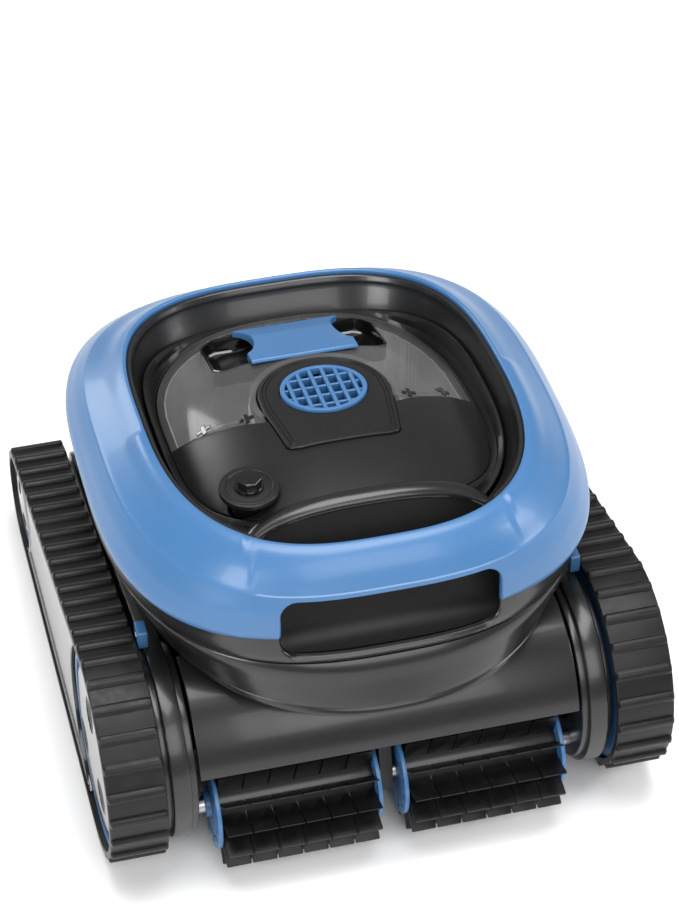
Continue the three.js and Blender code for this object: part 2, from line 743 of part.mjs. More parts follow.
// A side pod: round at the drive wheel, tapering back to the rear axle.
function podGeometry() {
  const plate = outline(loopOutline(POD_R, POD_REAR_R, 14));
  const inner = POD_INNER_X;
  const outer = TRACK_INNER - RUNNING_GAP;
  const body = crosswise(plate, inner + 5, outer - 4);
  const face = drumX(inner, inner + 6, POD_R - 4).translate(0, 0, FRONT_TREAD_R);
  const step = drumX(outer - 5, outer, POD_R - 6).translate(0, 0, FRONT_TREAD_R);
  const rearFace = crosswise(outline(loopOutline(POD_R - 30, POD_REAR_R - 6, 10)), inner, outer);
  return carve(body, {
    add: [face, step, rearFace],
    cut: [
      drumX(inner + 8, HALF, AXLE_R + 0.05, 16).translate(0, 0, FRONT_TREAD_R),
      drumX(inner + 8, HALF, AXLE_R + 0.05, 16).translate(0, WHEELBASE, REAR_TREAD_R),
      drumX(0, inner + 7, AXLE_R + 0.05, 16).translate(0, ROLLER_Y, ROLLER_Z),
    ],
  });
}

function skirtGeometry() {
  const loop = outline(loopOutline(FRONT_TREAD_R - beltInner - 2, REAR_TREAD_R - beltInner - 2, 18));
  const sheet = crosswise(loop, HALF - 10, HALF - 1.5);
  const frontClear = drumX(TRACK_INNER, HALF + 9, frontRimR + SKIRT_REACH).translate(0, 0, FRONT_TREAD_R);
  const rearClear = drumX(TRACK_INNER, HALF + 9, rearRimR + SKIRT_REACH).translate(0, WHEELBASE, REAR_TREAD_R);
  return carve(sheet, {
    cut: [frontClear, rearClear, box(0, HALF + 9, -HALF, 0, 0, HALF), box(0, HALF + 9, WHEELBASE, HALF * 3, 0, HALF)],
  });
}

// The frame inside the track that carries the skirt off the pod.
function frameGeometry() {
  const y0 = frontRimR + 10;
  const y1 = WHEELBASE - rearRimR - 8;
  const low = outline([[y0, 26], [y1, 16], [y1, 62], [y0, 104]]);
  return crosswise(low, TRACK_INNER - RUNNING_GAP + GAP, HALF - 10 - GAP);
}

function brushGeometry() {
  const shape = [];
  const step = (2 * Math.PI) / ROLLER_FINS;
  const tip = ROLLER_FIN / 2;
  for (let i = 0; i < ROLLER_FINS; i += 1) {
    const a = i * step + FIN_PHASE;
    const c = Math.cos(a);
    const s = Math.sin(a);
    const at = (r, across) => [r * c - across * s, r * s + across * c];
    const root = Math.sqrt(ROLLER_CORE_R ** 2 - tip ** 2);
    shape.push(at(root, -tip), at(ROLLER_R, -tip), at(ROLLER_R, tip), at(root, tip));
    const m = a + step / 2;
    shape.push([ROLLER_CORE_R * Math.cos(m), ROLLER_CORE_R * Math.sin(m)]);
  }
  const outer = outline(shape);
  const hole = new THREE.Path().absarc(0, 0, ROLLER_CORE_R - 4, 0, 2 * Math.PI, true);
  outer.holes.push(hole);
  return crosswise(outer, ROLLER_INNER_X + ROLLER_DISC + GAP, ROLLER_OUTER_X - ROLLER_DISC - GAP, 20);
}

// The inner end disc carries the roller's shaft right through to the pod.
function rollerShaftGeometry() {
  const x0 = ROLLER_INNER_X;
  const disc = turnedX([[x0, 0], [x0, ROLLER_DISC_R], [x0 + ROLLER_DISC, ROLLER_DISC_R], [x0 + ROLLER_DISC, 0]], 24);
  const hub = drumX(x0 - 6.5, POD_INNER_X + 6, AXLE_R - 0.4, 16);
  const spigot = drumX(x0 + 1, ROLLER_OUTER_X - ROLLER_DISC - 2, ROLLER_CORE_R - 4.4, 20);
  return carve(disc, { add: [spigot, hub] });
}

function rollerDiscGeometry() {
  const x1 = ROLLER_OUTER_X;
  return turnedX([
    [x1 - ROLLER_DISC, AXLE_R],
    [x1 - ROLLER_DISC, ROLLER_DISC_R],
    [x1, ROLLER_DISC_R],
    [x1, 9],
    [x1 + 4, 9],
    [x1 + 4, AXLE_R],
    [x1 - ROLLER_DISC, AXLE_R],
  ]);
}

const SIDES = [["left", -1], ["right", 1]];
for (const [word, side] of SIDES) {
  const make = (name, geometry, material, place) =>
    piece(`${name}_${word}`, mirrored(geometry, side), material, place);
  const front = [0, 0, FRONT_TREAD_R];
  const rear = [0, WHEELBASE, REAR_TREAD_R];
  const roller = [0, ROLLER_Y, ROLLER_Z];
  make("drive_pod", podGeometry(), GLOSS_BLACK());
  make("track_belt", beltGeometry(), RUBBER());
  make("track_frame", frameGeometry(), SATIN_BLACK());
  make("side_skirt", skirtGeometry(), GLOSS_BLACK());
  make("front_axle", drumX(POD_INNER_X + 9, HALF - 18, AXLE_R - 0.05, 16), STEEL(), front);
  make("rear_axle", drumX(POD_INNER_X + 9, HALF - 18, AXLE_R - 0.05, 16), STEEL(), rear);
  make("front_wheel", rimGeometry(frontRimR), BLUE(), front);
  make("front_hub_cap", capGeometry(frontRimR - RIM_WALL - GAP), GLOSS_BLACK(), front);
  make("rear_wheel", rimGeometry(rearRimR), BLUE(), rear);
  make("rear_hub_cap", capGeometry(rearRimR - RIM_WALL - GAP), GLOSS_BLACK(), rear);
  make("roller_brush", brushGeometry(), RUBBER(), roller);
  make("roller_core", rollerShaftGeometry(), BLUE(), roller);
  make("roller_disc", rollerDiscGeometry(), BLUE(), roller);
  make("drive_motor", drumX(hull - 47, hull - WALL - 1.6, 17, 20), STEEL(), [0, 80, 82]);
  make("track_bracket", box(TRACK_INNER - 8, TRACK_INNER - 1, 20, 34, LIP_Z - 1.6, LIP_Z + 13), BLUE());
}

// ---------- Pump, battery and electronics inside the body ----------
const columnTop = deckZ(0, PUMP_Y + COLUMN_R) - 3.6 - 2 * GAP;
function pumpColumn() {
  const tube = turnedZ([
    [floorZ, COLUMN_R - WALL],
    [floorZ, COLUMN_R],
    [columnTop, COLUMN_R],
    [columnTop, COLUMN_R - WALL],
    [floorZ, COLUMN_R - WALL],
  ]);
  const inlets = [];
  for (const turn of [0, Math.PI / 3, (2 * Math.PI) / 3]) {
    inlets.push(box(-COLUMN_R - 5, COLUMN_R + 5, -8, 8, 90, 150).rotateZ(turn));
  }
  return carve(tube, { cut: inlets });
}

piece("pump_column", pumpColumn(), SATIN_BLACK(), [0, PUMP_Y, 0]);
const motor = turnedZ([[floorZ, 0], [floorZ, MOTOR_R + 6], [floorZ + 6, MOTOR_R + 6], [floorZ + 10, MOTOR_R], [150, MOTOR_R],
  [156, MOTOR_R - 8], [160, 8], [168, 8], [168, 0]], 28);
piece("pump_motor", motor, STEEL(), [0, PUMP_Y, 0]);

function impellerGeometry() {
  const hub = turnedZ([[168 + GAP, 0], [168 + GAP, 12], [186, 10], [200, 5], [204, 0]], 24);
  const blades = [];
  for (let i = 0; i < 5; i += 1) {
    const blade = new THREE.BoxGeometry(IMPELLER_R - 4, 1.8, 20).rotateX(0.7);
    blades.push(blade.translate((IMPELLER_R + 4) / 2, 0, 184).rotateZ((i * 2 * Math.PI) / 5));
  }
  const limit = drumZ(168 + GAP, 210, IMPELLER_R, 32);
  return carve(hub, { add: blades, keep: [limit] });
}

piece("impeller", impellerGeometry(), GLOSS_BLACK(), [0, PUMP_Y, 0]);
const trayTop = floorZ + 3;
const batteryTop = trayTop + GAP + 64;
piece("battery_tray", box(-78, 78, 34, 84, floorZ, trayTop), SATIN_BLACK());
piece("battery_pack", box(-76, 76, 36, 82, trayTop + GAP, batteryTop), CELL());
piece("control_board", box(-70, 70, 38, 80, batteryTop + GAP, batteryTop + 16), BOARD());

// ---------- Lift-out filter basket ----------
const frontCut = (setback) => behindFrontEdge(setback, 0, 320);
const wellGap = 3; // basket wall to the edge of the well
const basketZ = floorZ;

// A C-shaped slab of the basket's plan, between two heights.
function basketPlan(inset, z0, z1) {
  const body = fullSlab(wellOutline(wellGap + inset), z0, z1);
  const pump = prism(padShape(wellGap + inset), z0 - 1, z1 + 1, 8);
  return carve(body, { cut: [pump], keep: [frontCut(wellGap + inset)] });
}

const lidUnder = domedPlate(deckEdge(4, 0), -LID_THICKNESS - 2 * GAP, 400);

function basketFrame() {
  const tall = carve(basketPlan(0, basketZ, 262), { keep: [lidUnder] });
  const windows = [];
  const tiers = [[84, 116], [121, 153], [158, 190]];
  for (const [z0, z1] of tiers) {
    for (const x of [-78, -48, 12, 42]) windows.push(box(x, x + 36 - 6 * Math.sign(Math.abs(x) - 50), 200, 330, z0, z1));
    for (const side of [-1, 1]) {
      for (const y of [140, 178]) windows.push(box(side * 118 - 30, side * 118 + 30, y, y + 33, z0, z1));
    }
  }
  return carve(tall, { cut: [basketPlan(BASKET_WALL, basketZ - 1, 290), ...windows] });
}

piece("basket_frame", basketFrame(), SATIN_BLACK());

// The cloth lines the frame from the inside.
function basketMesh() {
  const z0 = basketZ + BASKET_WALL + 2 * GAP;
  const low = domedPlate(deckEdge(4, 0), -LID_THICKNESS - 3, 400);
  const outside = carve(basketPlan(BASKET_WALL + GAP, z0, 262), { keep: [low] });
  return carve(outside, { cut: [basketPlan(BASKET_WALL + GAP + 1, z0 - 1, 290)] });
}

piece("basket_mesh", basketMesh(), MESH_CLOTH());

const flapHalf = 46;
const flapY0 = INTAKE_Y0 + 2;
const flapY1 = INTAKE_Y1 - 2;
const basketFloor = carve(basketPlan(BASKET_WALL + GAP, basketZ, basketZ + BASKET_WALL), {
  cut: [box(-flapHalf, flapHalf, flapY0, flapY1, 0, 60)],
});
piece("basket_floor", basketFloor, SATIN_BLACK());
piece(
  "intake_flap",
  box(-flapHalf - 3, flapHalf + 3, flapY0 - 3, flapY1 + 3, basketZ + BASKET_WALL + GAP, basketZ + 4.4),
  RUBBER(),
);

const bowlFront = HANDLE_FRONT_Y + 8;
const bowlRear = HANDLE_REAR_Y + 4;

// Finger bowls either side of the grip, sunk through the lid.
function bowlOpening(grow) {
  const x = BOWL_HALF + grow;
  const y0 = bowlFront - grow;
  const y1 = bowlRear + grow;
  const r = 13;
  const shape = new THREE.Shape();
  shape.moveTo(-x + r, y0);
  shape.lineTo(x - r, y0);
  shape.absarc(x - r, y0 + r, r, -Math.PI / 2, 0, false);
  shape.absarc(x - r, y1 - r, r, 0, Math.PI / 2, false);
  shape.absarc(-x + r, y1 - r, r, Math.PI / 2, Math.PI, false);
  shape.absarc(-x + r, y0 + r, r, Math.PI, 1.5 * Math.PI, false);
  return shape;
}

const lidPlan = carve(fullSlab(wellOutline(GAP + 0.4), 100, 300), {
  cut: [prism(padShape(1), 90, 310, 8)],
  keep: [frontCut(GAP + 0.2)],
});
const lidPlate = carve(domedPlate(deckEdge(4, 0), 0, LID_THICKNESS), {
  keep: [lidPlan],
  cut: [prism(bowlOpening(0), 100, 320, 5)],
});
piece("basket_lid", lidPlate, SMOKED());

function bowlGeometry() {
  const lid = domedPlate(deckEdge(4, 0), -0.4, BOWL_DEPTH);
  const hollow = domedPlate(deckEdge(4, 0), 3, BOWL_DEPTH + 3.4 - 2);
  const skin = prism(bowlOpening(-GAP), 100, 320, 5);
  const inside = prism(bowlOpening(-GAP - 2), 100, 320, 5);
  return carve(lid, { keep: [skin], cut: [carve(hollow, { keep: [inside] })] });
}

piece("finger_bowl", bowlGeometry(), GLOSS_BLACK());

// The grip bridges the bowl: two faces meeting at a crease, waisted ends.
function gripGeometry() {
  const front = bowlFront + 2.8; // inside the bowl's walls
  const rear = bowlRear - 2.8;
  const over = (y, rise) => [y, deckZ(0, y) + rise];
  const side = outline([
    over(HANDLE_FRONT_Y, 0.4),
    over(front, 0.4),
    over(front, -4),
    over(rear, -4),
    over(rear, 0.4),
    over(HANDLE_CREASE_Y, 3.6),
    over(HANDLE_FRONT_Y, 2),
  ]);
  const bar = crosswise(side, -HANDLE_HALF, HANDLE_HALF);
  const waists = [-1, 1].map((s) =>
    drumZ(100, 320, 26, 32).scale(0.5, 1, 1).translate(s * (HANDLE_HALF + 4), HANDLE_CREASE_Y - 4, 0),
  );
  return carve(bar, { cut: waists });
}

piece("basket_grip", gripGeometry(), BLUE());

// The knuckle at the back of the basket that the lid swings on.
const knuckleY = DECK_REAR - wellGap + GAP;
const knuckleZ = deckZ(0, knuckleY + 2) - LID_THICKNESS - 3 * GAP;
piece("lid_knuckle", box(-10, 10, knuckleY, knuckleY + 2, knuckleZ - 20, knuckleZ - GAP), SMOKED());

// The origin lies on the ground under the middle of the overall length.
const reach = new THREE.Box3().setFromObject(model);
model.position.y = -(reach.min.y + reach.max.y) / 2;

export default model;
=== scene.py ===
"""The looks of a tracked pool-cleaning robot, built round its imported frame. Sizes in the making are in
millimetres from the front axle on the ground, and go to the frame's metres when a mesh is written."""

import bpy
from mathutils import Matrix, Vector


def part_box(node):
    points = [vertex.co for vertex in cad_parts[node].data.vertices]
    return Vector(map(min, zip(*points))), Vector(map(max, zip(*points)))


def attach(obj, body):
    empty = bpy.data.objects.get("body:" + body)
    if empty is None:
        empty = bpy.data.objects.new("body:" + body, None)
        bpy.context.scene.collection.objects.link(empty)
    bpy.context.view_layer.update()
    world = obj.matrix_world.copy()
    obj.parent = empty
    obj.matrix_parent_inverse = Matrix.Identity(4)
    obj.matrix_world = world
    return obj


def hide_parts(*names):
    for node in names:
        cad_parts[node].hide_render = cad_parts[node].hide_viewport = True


bl_info = {
    "name": "Pool Cleaner",
    "version": (1, 0, 0),
    "blender": (4, 5, 0),
    "location": "3D View > Sidebar > Pool Cleaner",
    "description": "Builds the shells, tracks, brushes and filter basket of a pool-cleaning robot",
    "category": "Object",
}

import math

import bmesh
import bpy
import numpy as np
from mathutils import Matrix, Vector
from mathutils.bvhtree import BVHTree
from mathutils.geometry import delaunay_2d_cdt

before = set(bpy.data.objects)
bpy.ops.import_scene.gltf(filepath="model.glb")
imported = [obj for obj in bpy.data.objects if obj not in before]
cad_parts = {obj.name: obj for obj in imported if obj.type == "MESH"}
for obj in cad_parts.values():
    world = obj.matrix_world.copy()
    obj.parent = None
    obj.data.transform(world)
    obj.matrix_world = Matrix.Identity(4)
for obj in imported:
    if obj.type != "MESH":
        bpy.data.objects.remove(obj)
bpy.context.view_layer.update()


# ---------- Sizes ----------
def middle(node):
    low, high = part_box(node)
    return (low + high) / 2


AXLE_Y = middle("front_axle_right").y
FRONT_R = middle("front_axle_right").z * 1000
REAR_R = middle("rear_axle_right").z * 1000
WHEELBASE = (middle("rear_axle_right").y - AXLE_Y) * 1000
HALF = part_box("track_belt_right")[1].x * 1000
TRACK_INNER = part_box("track_belt_right")[0].x * 1000

MID_Y = 0.452 * WHEELBASE  # widest station of the body
SIDE = TRACK_INNER + 9
SEAM_FRONT = -65
SEAM_REAR = WHEELBASE + 21
LIP_Z = 148.6
SEAM_Z = 188
BAND_TOP_Z = (211, 208, 197)  # at the front, the middle and the rear, as are RIM_Z and BASE_Z
BELLY_Z = 21
RIM_SIDE = TRACK_INNER - 30.5
RIM_FRONT = -36
RIM_REAR = WHEELBASE - 7
RIM_Z = (268.2, 253.2, 226)
DECK_SIDE = TRACK_INNER - 49.5
DECK_REAR = WHEELBASE - 41
BASE_SIDE = DECK_SIDE + 9.1
BASE_FRONT = -6
BASE_REAR = WHEELBASE - 26
BASE_Z = (240, 236.6, 205)
HULL = 135.7  # half the width of the lower hull
PUMP_Y = 129
GRILLE_R = 30.5
HAND_HALF, HAND_LOW, HAND_TOP, HAND_CORNER = 75, 194, 241, 12  # the hand hole in the front
SCOOP_HALF = 81  # half the width of the hand scoop
ROLLER = (-40, 47)  # the brush rollers' axis, in Y and Z
CAP = (-74, 38)  # the charging port, in X and Y
WELL_BLUNT = 3.4  # how square the rear of the lid and basket is
HANDLE_END = 86  # where the carry handle runs into the cover's corners
EVEN_POINTS = 224  # points round a body outline, before those added at the handle's ends


DECK_TOP, DECK_TOP_Y = 264.3, 55  # the deck's highest point
DECK_FALL, DECK_SIDE_FALL = 48, 36  # how far it falls to its rear and to its sides


def deck_z(x, y):
    """The domed surface shared by deck, pad and lid."""
    side = DECK_SIDE_FALL * np.abs(np.asarray(x) / DECK_SIDE) ** 2.64
    back = (np.asarray(y) - DECK_TOP_Y) / (DECK_REAR - DECK_TOP_Y)
    return DECK_TOP - side - DECK_FALL * back**2


def pump_tilt():
    """How far the deck leans back at the pump's axis."""
    return -math.atan(2 * DECK_FALL * (PUMP_Y - DECK_TOP_Y) / (DECK_REAR - DECK_TOP_Y) ** 2)


# ---------- Materials ----------
class Value:
    """A shader socket that takes part in arithmetic."""

    def __init__(self, finish, socket):
        self.finish = finish
        self.socket = socket

    def maths(self, operation, other, swap=False):
        first, second = (other, self) if swap else (self, other)
        inputs = {0: first, 1: second}
        return self.finish.node("ShaderNodeMath", {"operation": operation}, inputs).out()

    def __add__(self, other):
        return self.maths("ADD", other)

    def __radd__(self, other):
        return self.maths("ADD", other, True)

    def __sub__(self, other):
        return self.maths("SUBTRACT", other)

    def __rsub__(self, other):
        return self.maths("SUBTRACT", other, True)

    def __mul__(self, other):
        return self.maths("MULTIPLY", other)

    def __rmul__(self, other):
        return self.maths("MULTIPLY", other, True)

    def steps(self, low, high):
        """0 below low, 1 above high, smooth between."""
        settings = {"interpolation_type": "SMOOTHSTEP"}
        return self.finish.node("ShaderNodeMapRange", settings, {"Value": self, 1: low, 2: high}).out()


class Placed:
    """A node in a tree, with its outputs as values."""

    def __init__(self, graph, node):
        self.graph = graph
        self.node = node

    def out(self, name=0):
        return Value(self.graph, self.node.outputs[name])


class Graph:
    """A node tree under construction."""

    def __init__(self, tree):
        self.tree = tree

    def node(self, kind, settings, inputs):
        """Adds a node, with its settings first and then its values and links."""
        made = self.tree.nodes.new(kind)
        for key, value in settings.items():
            setattr(made, key, value)
        for key, value in inputs.items():
            if isinstance(value, Value):
                self.tree.links.new(value.socket, made.inputs[key])
            else:
                made.inputs[key].default_value = value
        return Placed(self, made)


class Finish(Graph):
    """One procedural material, on object coordinates."""

    def __init__(self, name, **constants):
        self.material = bpy.data.materials.new(name)
        self.material.use_nodes = True
        super().__init__(self.material.node_tree)
        self.shader = self.tree.nodes["Principled BSDF"]
        for socket, value in constants.items():
            self.shader.inputs[socket.replace("_", " ")].default_value = value
        self.place = self.node("ShaderNodeTexCoord", {}, {}).out("Object")

    def noise(self, scale, detail=2, roughness=0.5, place=None):
        inputs = {"Vector": place or self.place, "Scale": scale, "Detail": detail, "Roughness": roughness}
        return self.node("ShaderNodeTexNoise", {}, inputs).out("Fac")

    def stretched(self, scale):
        return self.node("ShaderNodeMapping", {}, {"Vector": self.place, "Scale": scale}).out()

    def blend(self, amount, first, second):
        settings = {"data_type": "RGBA"}
        mix = self.node("ShaderNodeMix", settings, {})
        for key, value in (("Factor", amount), ("A", first), ("B", second)):
            sockets = [s for s in mix.node.inputs if s.name == key and s.enabled]
            if isinstance(value, Value):
                self.tree.links.new(value.socket, sockets[0])
            else:
                sockets[0].default_value = value
        colour = [s for s in mix.node.outputs if s.enabled][0]
        return Value(self, colour)

    def set(self, socket, value):
        self.tree.links.new(value.socket, self.shader.inputs[socket])

    def bump(self, height, strength, distance):
        inputs = {"Height": height, "Strength": strength, "Distance": distance}
        self.set("Normal", self.node("ShaderNodeBump", {}, inputs).out("Normal"))


def rgba(color, factor=1.0):
    return (*(min(1.0, c * factor) for c in color[:3]), 1.0)


def moulded(name, color, roughness, grain=0.0, grain_scale=1400, coat=0.0, swing=0.07, ior=1.5):
    """Injection-moulded plastic: a faint tone drift, handling marks in the gloss and a fine skin."""
    f = Finish(name, Coat_Weight=coat, Coat_Roughness=0.08, IOR=ior)
    drift = f.noise(9, 3)
    marks = f.noise(60, 4, 0.65, f.stretched((1, 0.25, 0.6)))
    f.set("Base Color", f.blend(drift.steps(0.3, 0.7), rgba(color, 1 - swing), rgba(color, 1 + swing)))
    f.set("Roughness", roughness + 0.1 * (marks - 0.5) + 0.06 * (drift - 0.5))
    skin = f.noise(grain_scale, 2)
    wave = f.noise(24, 1)
    f.bump(skin * grain + wave * 0.35, 0.5, 0.0004)
    return f.material


def rubber(name, color=(0.006, 0.006, 0.0063)):
    """Moulded rubber: a dull, pebbled skin, greyer where it has scuffed."""
    f = Finish(name, IOR=1.37)
    scuff = (f.noise(90, 5, 0.7) * f.noise(11, 2)).steps(0.22, 0.42)
    f.set("Base Color", f.blend(scuff, rgba(color), rgba(color, 1.5)))
    f.set("Roughness", 0.34 + 0.18 * scuff)
    f.bump(f.noise(2600, 2) + 0.4 * f.noise(300, 2), 0.35, 0.0003)
    return f.material


def smoked(name):
    """Smoke-tinted clear plastic."""
    f = Finish(name, IOR=1.5, Alpha=0.3)
    haze = f.noise(30, 3)
    f.set("Base Color", f.blend(haze.steps(0.35, 0.7), (0.13, 0.13, 0.133, 1), (0.17, 0.17, 0.173, 1)))
    f.set("Roughness", 0.07 + 0.06 * haze)
    f.bump(f.noise(40, 1), 0.15, 0.0004)
    return f.material


def net_cloth(name):
    """Fine woven filter net: threads both ways with open pores between them."""
    f = Finish(name, Roughness=0.8)
    parts = f.node("ShaderNodeSeparateXYZ", {}, {0: f.place})
    along = parts.out("X") + parts.out("Y")
    threads = []
    for run in (along, parts.out("Z")):
        wave = f.node("ShaderNodeMath", {"operation": "SINE"}, {0: run * 3900}).out()
        threads.append(wave.steps(-0.2, 0.7))
    weave = f.node("ShaderNodeMath", {"operation": "MAXIMUM"}, {0: threads[0], 1: threads[1]}).out()
    tone = f.noise(40, 3)
    f.set("Base Color", f.blend(tone, (0.85, 0.85, 0.84, 1), (0.95, 0.95, 0.94, 1)))
    f.set("Alpha", 0.72 + 0.25 * weave)
    f.bump(weave, 0.4, 0.0002)
    return f.material


def turned_steel(name):
    """Turned steel with fine rings of tool marks."""
    f = Finish(name, Metallic=1.0)
    marks = f.noise(900, 2, 0.5, f.stretched((1, 0.05, 0.05)))
    f.set("Base Color", f.blend(marks, (0.36, 0.37, 0.38, 1), (0.52, 0.53, 0.54, 1)))
    f.set("Roughness", 0.24 + 0.16 * marks)
    f.bump(marks, 0.2, 0.0002)
    return f.material


def cell_wrap(name):
    """Shrink-wrapped cells: soft ridges where the cells lie side by side."""
    f = Finish(name)
    parts = f.node("ShaderNodeSeparateXYZ", {}, {0: f.place})
    ridge = f.node("ShaderNodeMath", {"operation": "SINE"}, {0: parts.out("X") * 330}).out()
    f.set("Base Color", f.blend(f.noise(30, 3), (0.02, 0.08, 0.14, 1), (0.035, 0.11, 0.19, 1)))
    f.set("Roughness", 0.32 + 0.1 * f.noise(120, 3))
    f.bump(ridge, 0.6, 0.002)
    return f.material


def potted_board(name):
    """A potted circuit board: green resin with copper tracks showing through."""
    f = Finish(name)
    settings = {"feature": "DISTANCE_TO_EDGE"}
    cells = f.node("ShaderNodeTexVoronoi", settings, {"Vector": f.place, "Scale": 160})
    track = 1 - cells.out("Distance").steps(0.02, 0.06)
    f.set("Base Color", f.blend(track, (0.012, 0.085, 0.035, 1), (0.05, 0.16, 0.05, 1)))
    f.set("Roughness", 0.25 + 0.2 * f.noise(70, 2))
    f.bump(track, 0.3, 0.0003)
    return f.material


FINISHES = {}


def make_finishes(sizes):
    blue = tuple(sizes.blue)
    black = tuple(sizes.black)
    FINISHES.update(
        blue=moulded("blue_plastic", blue, 0.36, 0.05, 900, 0.12, 0.03),
        black=moulded("satin_black", black, 0.36, 0.25, 1600, 0.0, ior=1.42),
        # The recess finish is the black at half strength: painted shade for the hand scoop and grip liner
        # inside the hand hole
        recess=moulded("recess_black", rgba(black, 0.5)[:3], 0.4, 0.25, 1600, ior=1.32),
        shell=moulded("shell_black", black, 0.3, 0.03, 1200, 0.2),
        gloss=moulded("gloss_black", rgba(black, 0.6)[:3], 0.14, 0.0, 900, 0.4),
        rubber=rubber("track_rubber"),
        fin_rubber=rubber("brush_rubber", (0.006, 0.006, 0.0065)),
        smoked=smoked("smoked_clear"),
        net=net_cloth("filter_net"),
        steel=turned_steel("turned_steel"),
        wrap=cell_wrap("cell_wrap"),
        board=potted_board("potted_board"),
    )


# ---------- Meshes ----------
def row(points):
    """Millimetres from the front axle to the row frame's metres."""
    p = np.asarray(points, float) / 1000
    p[..., 1] += AXLE_Y
    return p


def new_object(name, points, faces, finish, sharp=32):
    """A mesh object of these points (mm) and faces, shaded smooth between its sharp edges."""
    mesh = bpy.data.meshes.new(name)
    mesh.from_pydata(row(points).tolist(), [], [tuple(int(i) for i in f) for f in faces])
    mesh.validate()
    mesh.materials.append(FINISHES[finish])
    made = bpy.data.objects.new(name, mesh)
    bpy.context.scene.collection.objects.link(made)
    tidy(made, sharp)
    return made


def tidy(made, sharp=32):
    """Merges doubles, turns the faces out and marks the sharp edges."""
    bm = bmesh.new()
    bm.from_mesh(made.data)
    bmesh.ops.remove_doubles(bm, verts=bm.verts, dist=1e-6)
    bmesh.ops.recalc_face_normals(bm, faces=bm.faces)
    bm.to_mesh(made.data)
    bm.free()
    made.data.shade_smooth()
    made.data.set_sharp_from_angle(angle=math.radians(sharp))


def quads(rows, columns, close_rows=False, close_columns=True, start=0):
    """Faces of a grid of points."""
    faces = []
    for r in range(rows if close_rows else rows - 1):
        for c in range(columns if close_columns else columns - 1):
            a = start + r * columns + c
            b = start + r * columns + (c + 1) % columns
            over = start + ((r + 1) % rows) * columns
            faces.append((a, b, over + (c + 1) % columns, over + c))
    return faces


def tube(name, rows, finish, sharp=32):
    """A solid through rows of points, each a closed section, with its two ends closed."""
    count = len(rows[0])
    last = (len(rows) - 1) * count
    faces = quads(len(rows), count) + [tuple(range(count)), tuple(range(last, last + count))]
    return new_object(name, np.concatenate(rows), faces, finish, sharp)


def evaluated(made):
    """Replaces an object's mesh by what its modifiers give, and removes them."""
    graph = bpy.context.evaluated_depsgraph_get()
    graph.update()
    mesh = bpy.data.meshes.new_from_object(made.evaluated_get(graph), depsgraph=graph)
    made.modifiers.clear()
    made.data = mesh
    return made


def cut(made, *tools, operation="DIFFERENCE", sharp=32):
    """Cuts the tools' solids out of an object, and removes them."""
    for tool in tools:
        step = made.modifiers.new("cut", "BOOLEAN")
        step.operation = operation
        step.object = tool
        step.solver = "EXACT"
        evaluated(made)
        bpy.data.objects.remove(tool)
    made.data.shade_smooth()
    made.data.set_sharp_from_angle(angle=math.radians(sharp))
    return made


def merged(name, *parts):
    """Several objects' meshes as one object."""
    bm = bmesh.new()
    finishes = []
    for part in parts:
        start = len(bm.faces)
        bm.from_mesh(part.data)
        bm.faces.ensure_lookup_table()
        for face in bm.faces[start:]:
            slot = part.data.materials[min(face.material_index, len(part.data.materials) - 1)]
            if slot not in finishes:
                finishes.append(slot)
            face.material_index = finishes.index(slot)
    mesh = bpy.data.meshes.new(name)
    bm.to_mesh(mesh)
    bm.free()
    for finish in finishes:
        mesh.materials.append(finish)
    for part in parts:
        bpy.data.objects.remove(part)
    made = bpy.data.objects.new(name, mesh)
    bpy.context.scene.collection.objects.link(made)
    made.data.shade_smooth()
    made.data.set_sharp_from_angle(angle=math.radians(32))
    return made


def mirror_copy(made, name):
    """The same piece on the other side of the robot."""
    mesh = made.data.copy()
    flat = np.zeros(len(mesh.vertices) * 3, np.float32)
    mesh.vertices.foreach_get("co", flat)
    flat[0::3] *= -1
    mesh.vertices.foreach_set("co", flat)
    mesh.flip_normals()
    mesh.update()
    copy = bpy.data.objects.new(name, mesh)
    bpy.context.scene.collection.objects.link(copy)
    return copy


def settle(made, body, slot, *nodes):
    """Puts a finished piece on its body, in place of its CAD nodes."""
    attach(made, body)
    if nodes:
        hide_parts(*nodes)
    return made


def settle_pair(right, body, slot, node):
    """Settles a right-hand piece and its mirror image; {} stands for the side in body and node."""
    left = mirror_copy(right, right.name.replace("right", "left"))
    for piece, side in ((right, "right"), (left, "left")):
        settle(piece, body.format(side), slot, node.format(side))


# ---------- Body outlines ----------
def superellipse(angle, side, front, rear, blunt, blunt_rear):
    """The outline's distance from the widest station, along each angle."""
    s = np.sin(angle)
    reach = np.where(s < 0, MID_Y - front, rear - MID_Y)
    power = np.where(s < 0, blunt, blunt_rear)
    return (np.abs(np.cos(angle) / side) ** power + np.abs(s / reach) ** power) ** (-1 / power)


def even_angles(count):
    """Angles that share out a body outline evenly."""
    fine = np.linspace(0, 2 * np.pi, 4001)
    r = superellipse(fine, SIDE, SEAM_FRONT, SEAM_REAR, 2.9, 3)
    x, y = r * np.cos(fine), r * np.sin(fine)
    run = np.concatenate([[0], np.cumsum(np.hypot(np.diff(x), np.diff(y)))])
    return np.interp(np.linspace(0, run[-1], count, endpoint=False), run, fine)


def with_handle_ends(angles):
    """The same angles with extra ones where the carry handle runs into the cover's corners."""
    r = superellipse(angles, RIM_SIDE, RIM_FRONT, RIM_REAR, 2.81, 3)
    x, y = r * np.cos(angles), r * np.sin(angles)
    extra = []
    for i in range(len(angles) - 1):
        low, high = sorted((abs(x[i]), abs(x[i + 1])))
        if y[i] < 0 and low < HANDLE_END + 9 and high > HANDLE_END - 9:
            extra += list(np.linspace(angles[i], angles[i + 1], 4)[1:-1])
    return np.sort(np.concatenate([angles, extra]))


ANGLES = with_handle_ends(even_angles(EVEN_POINTS))


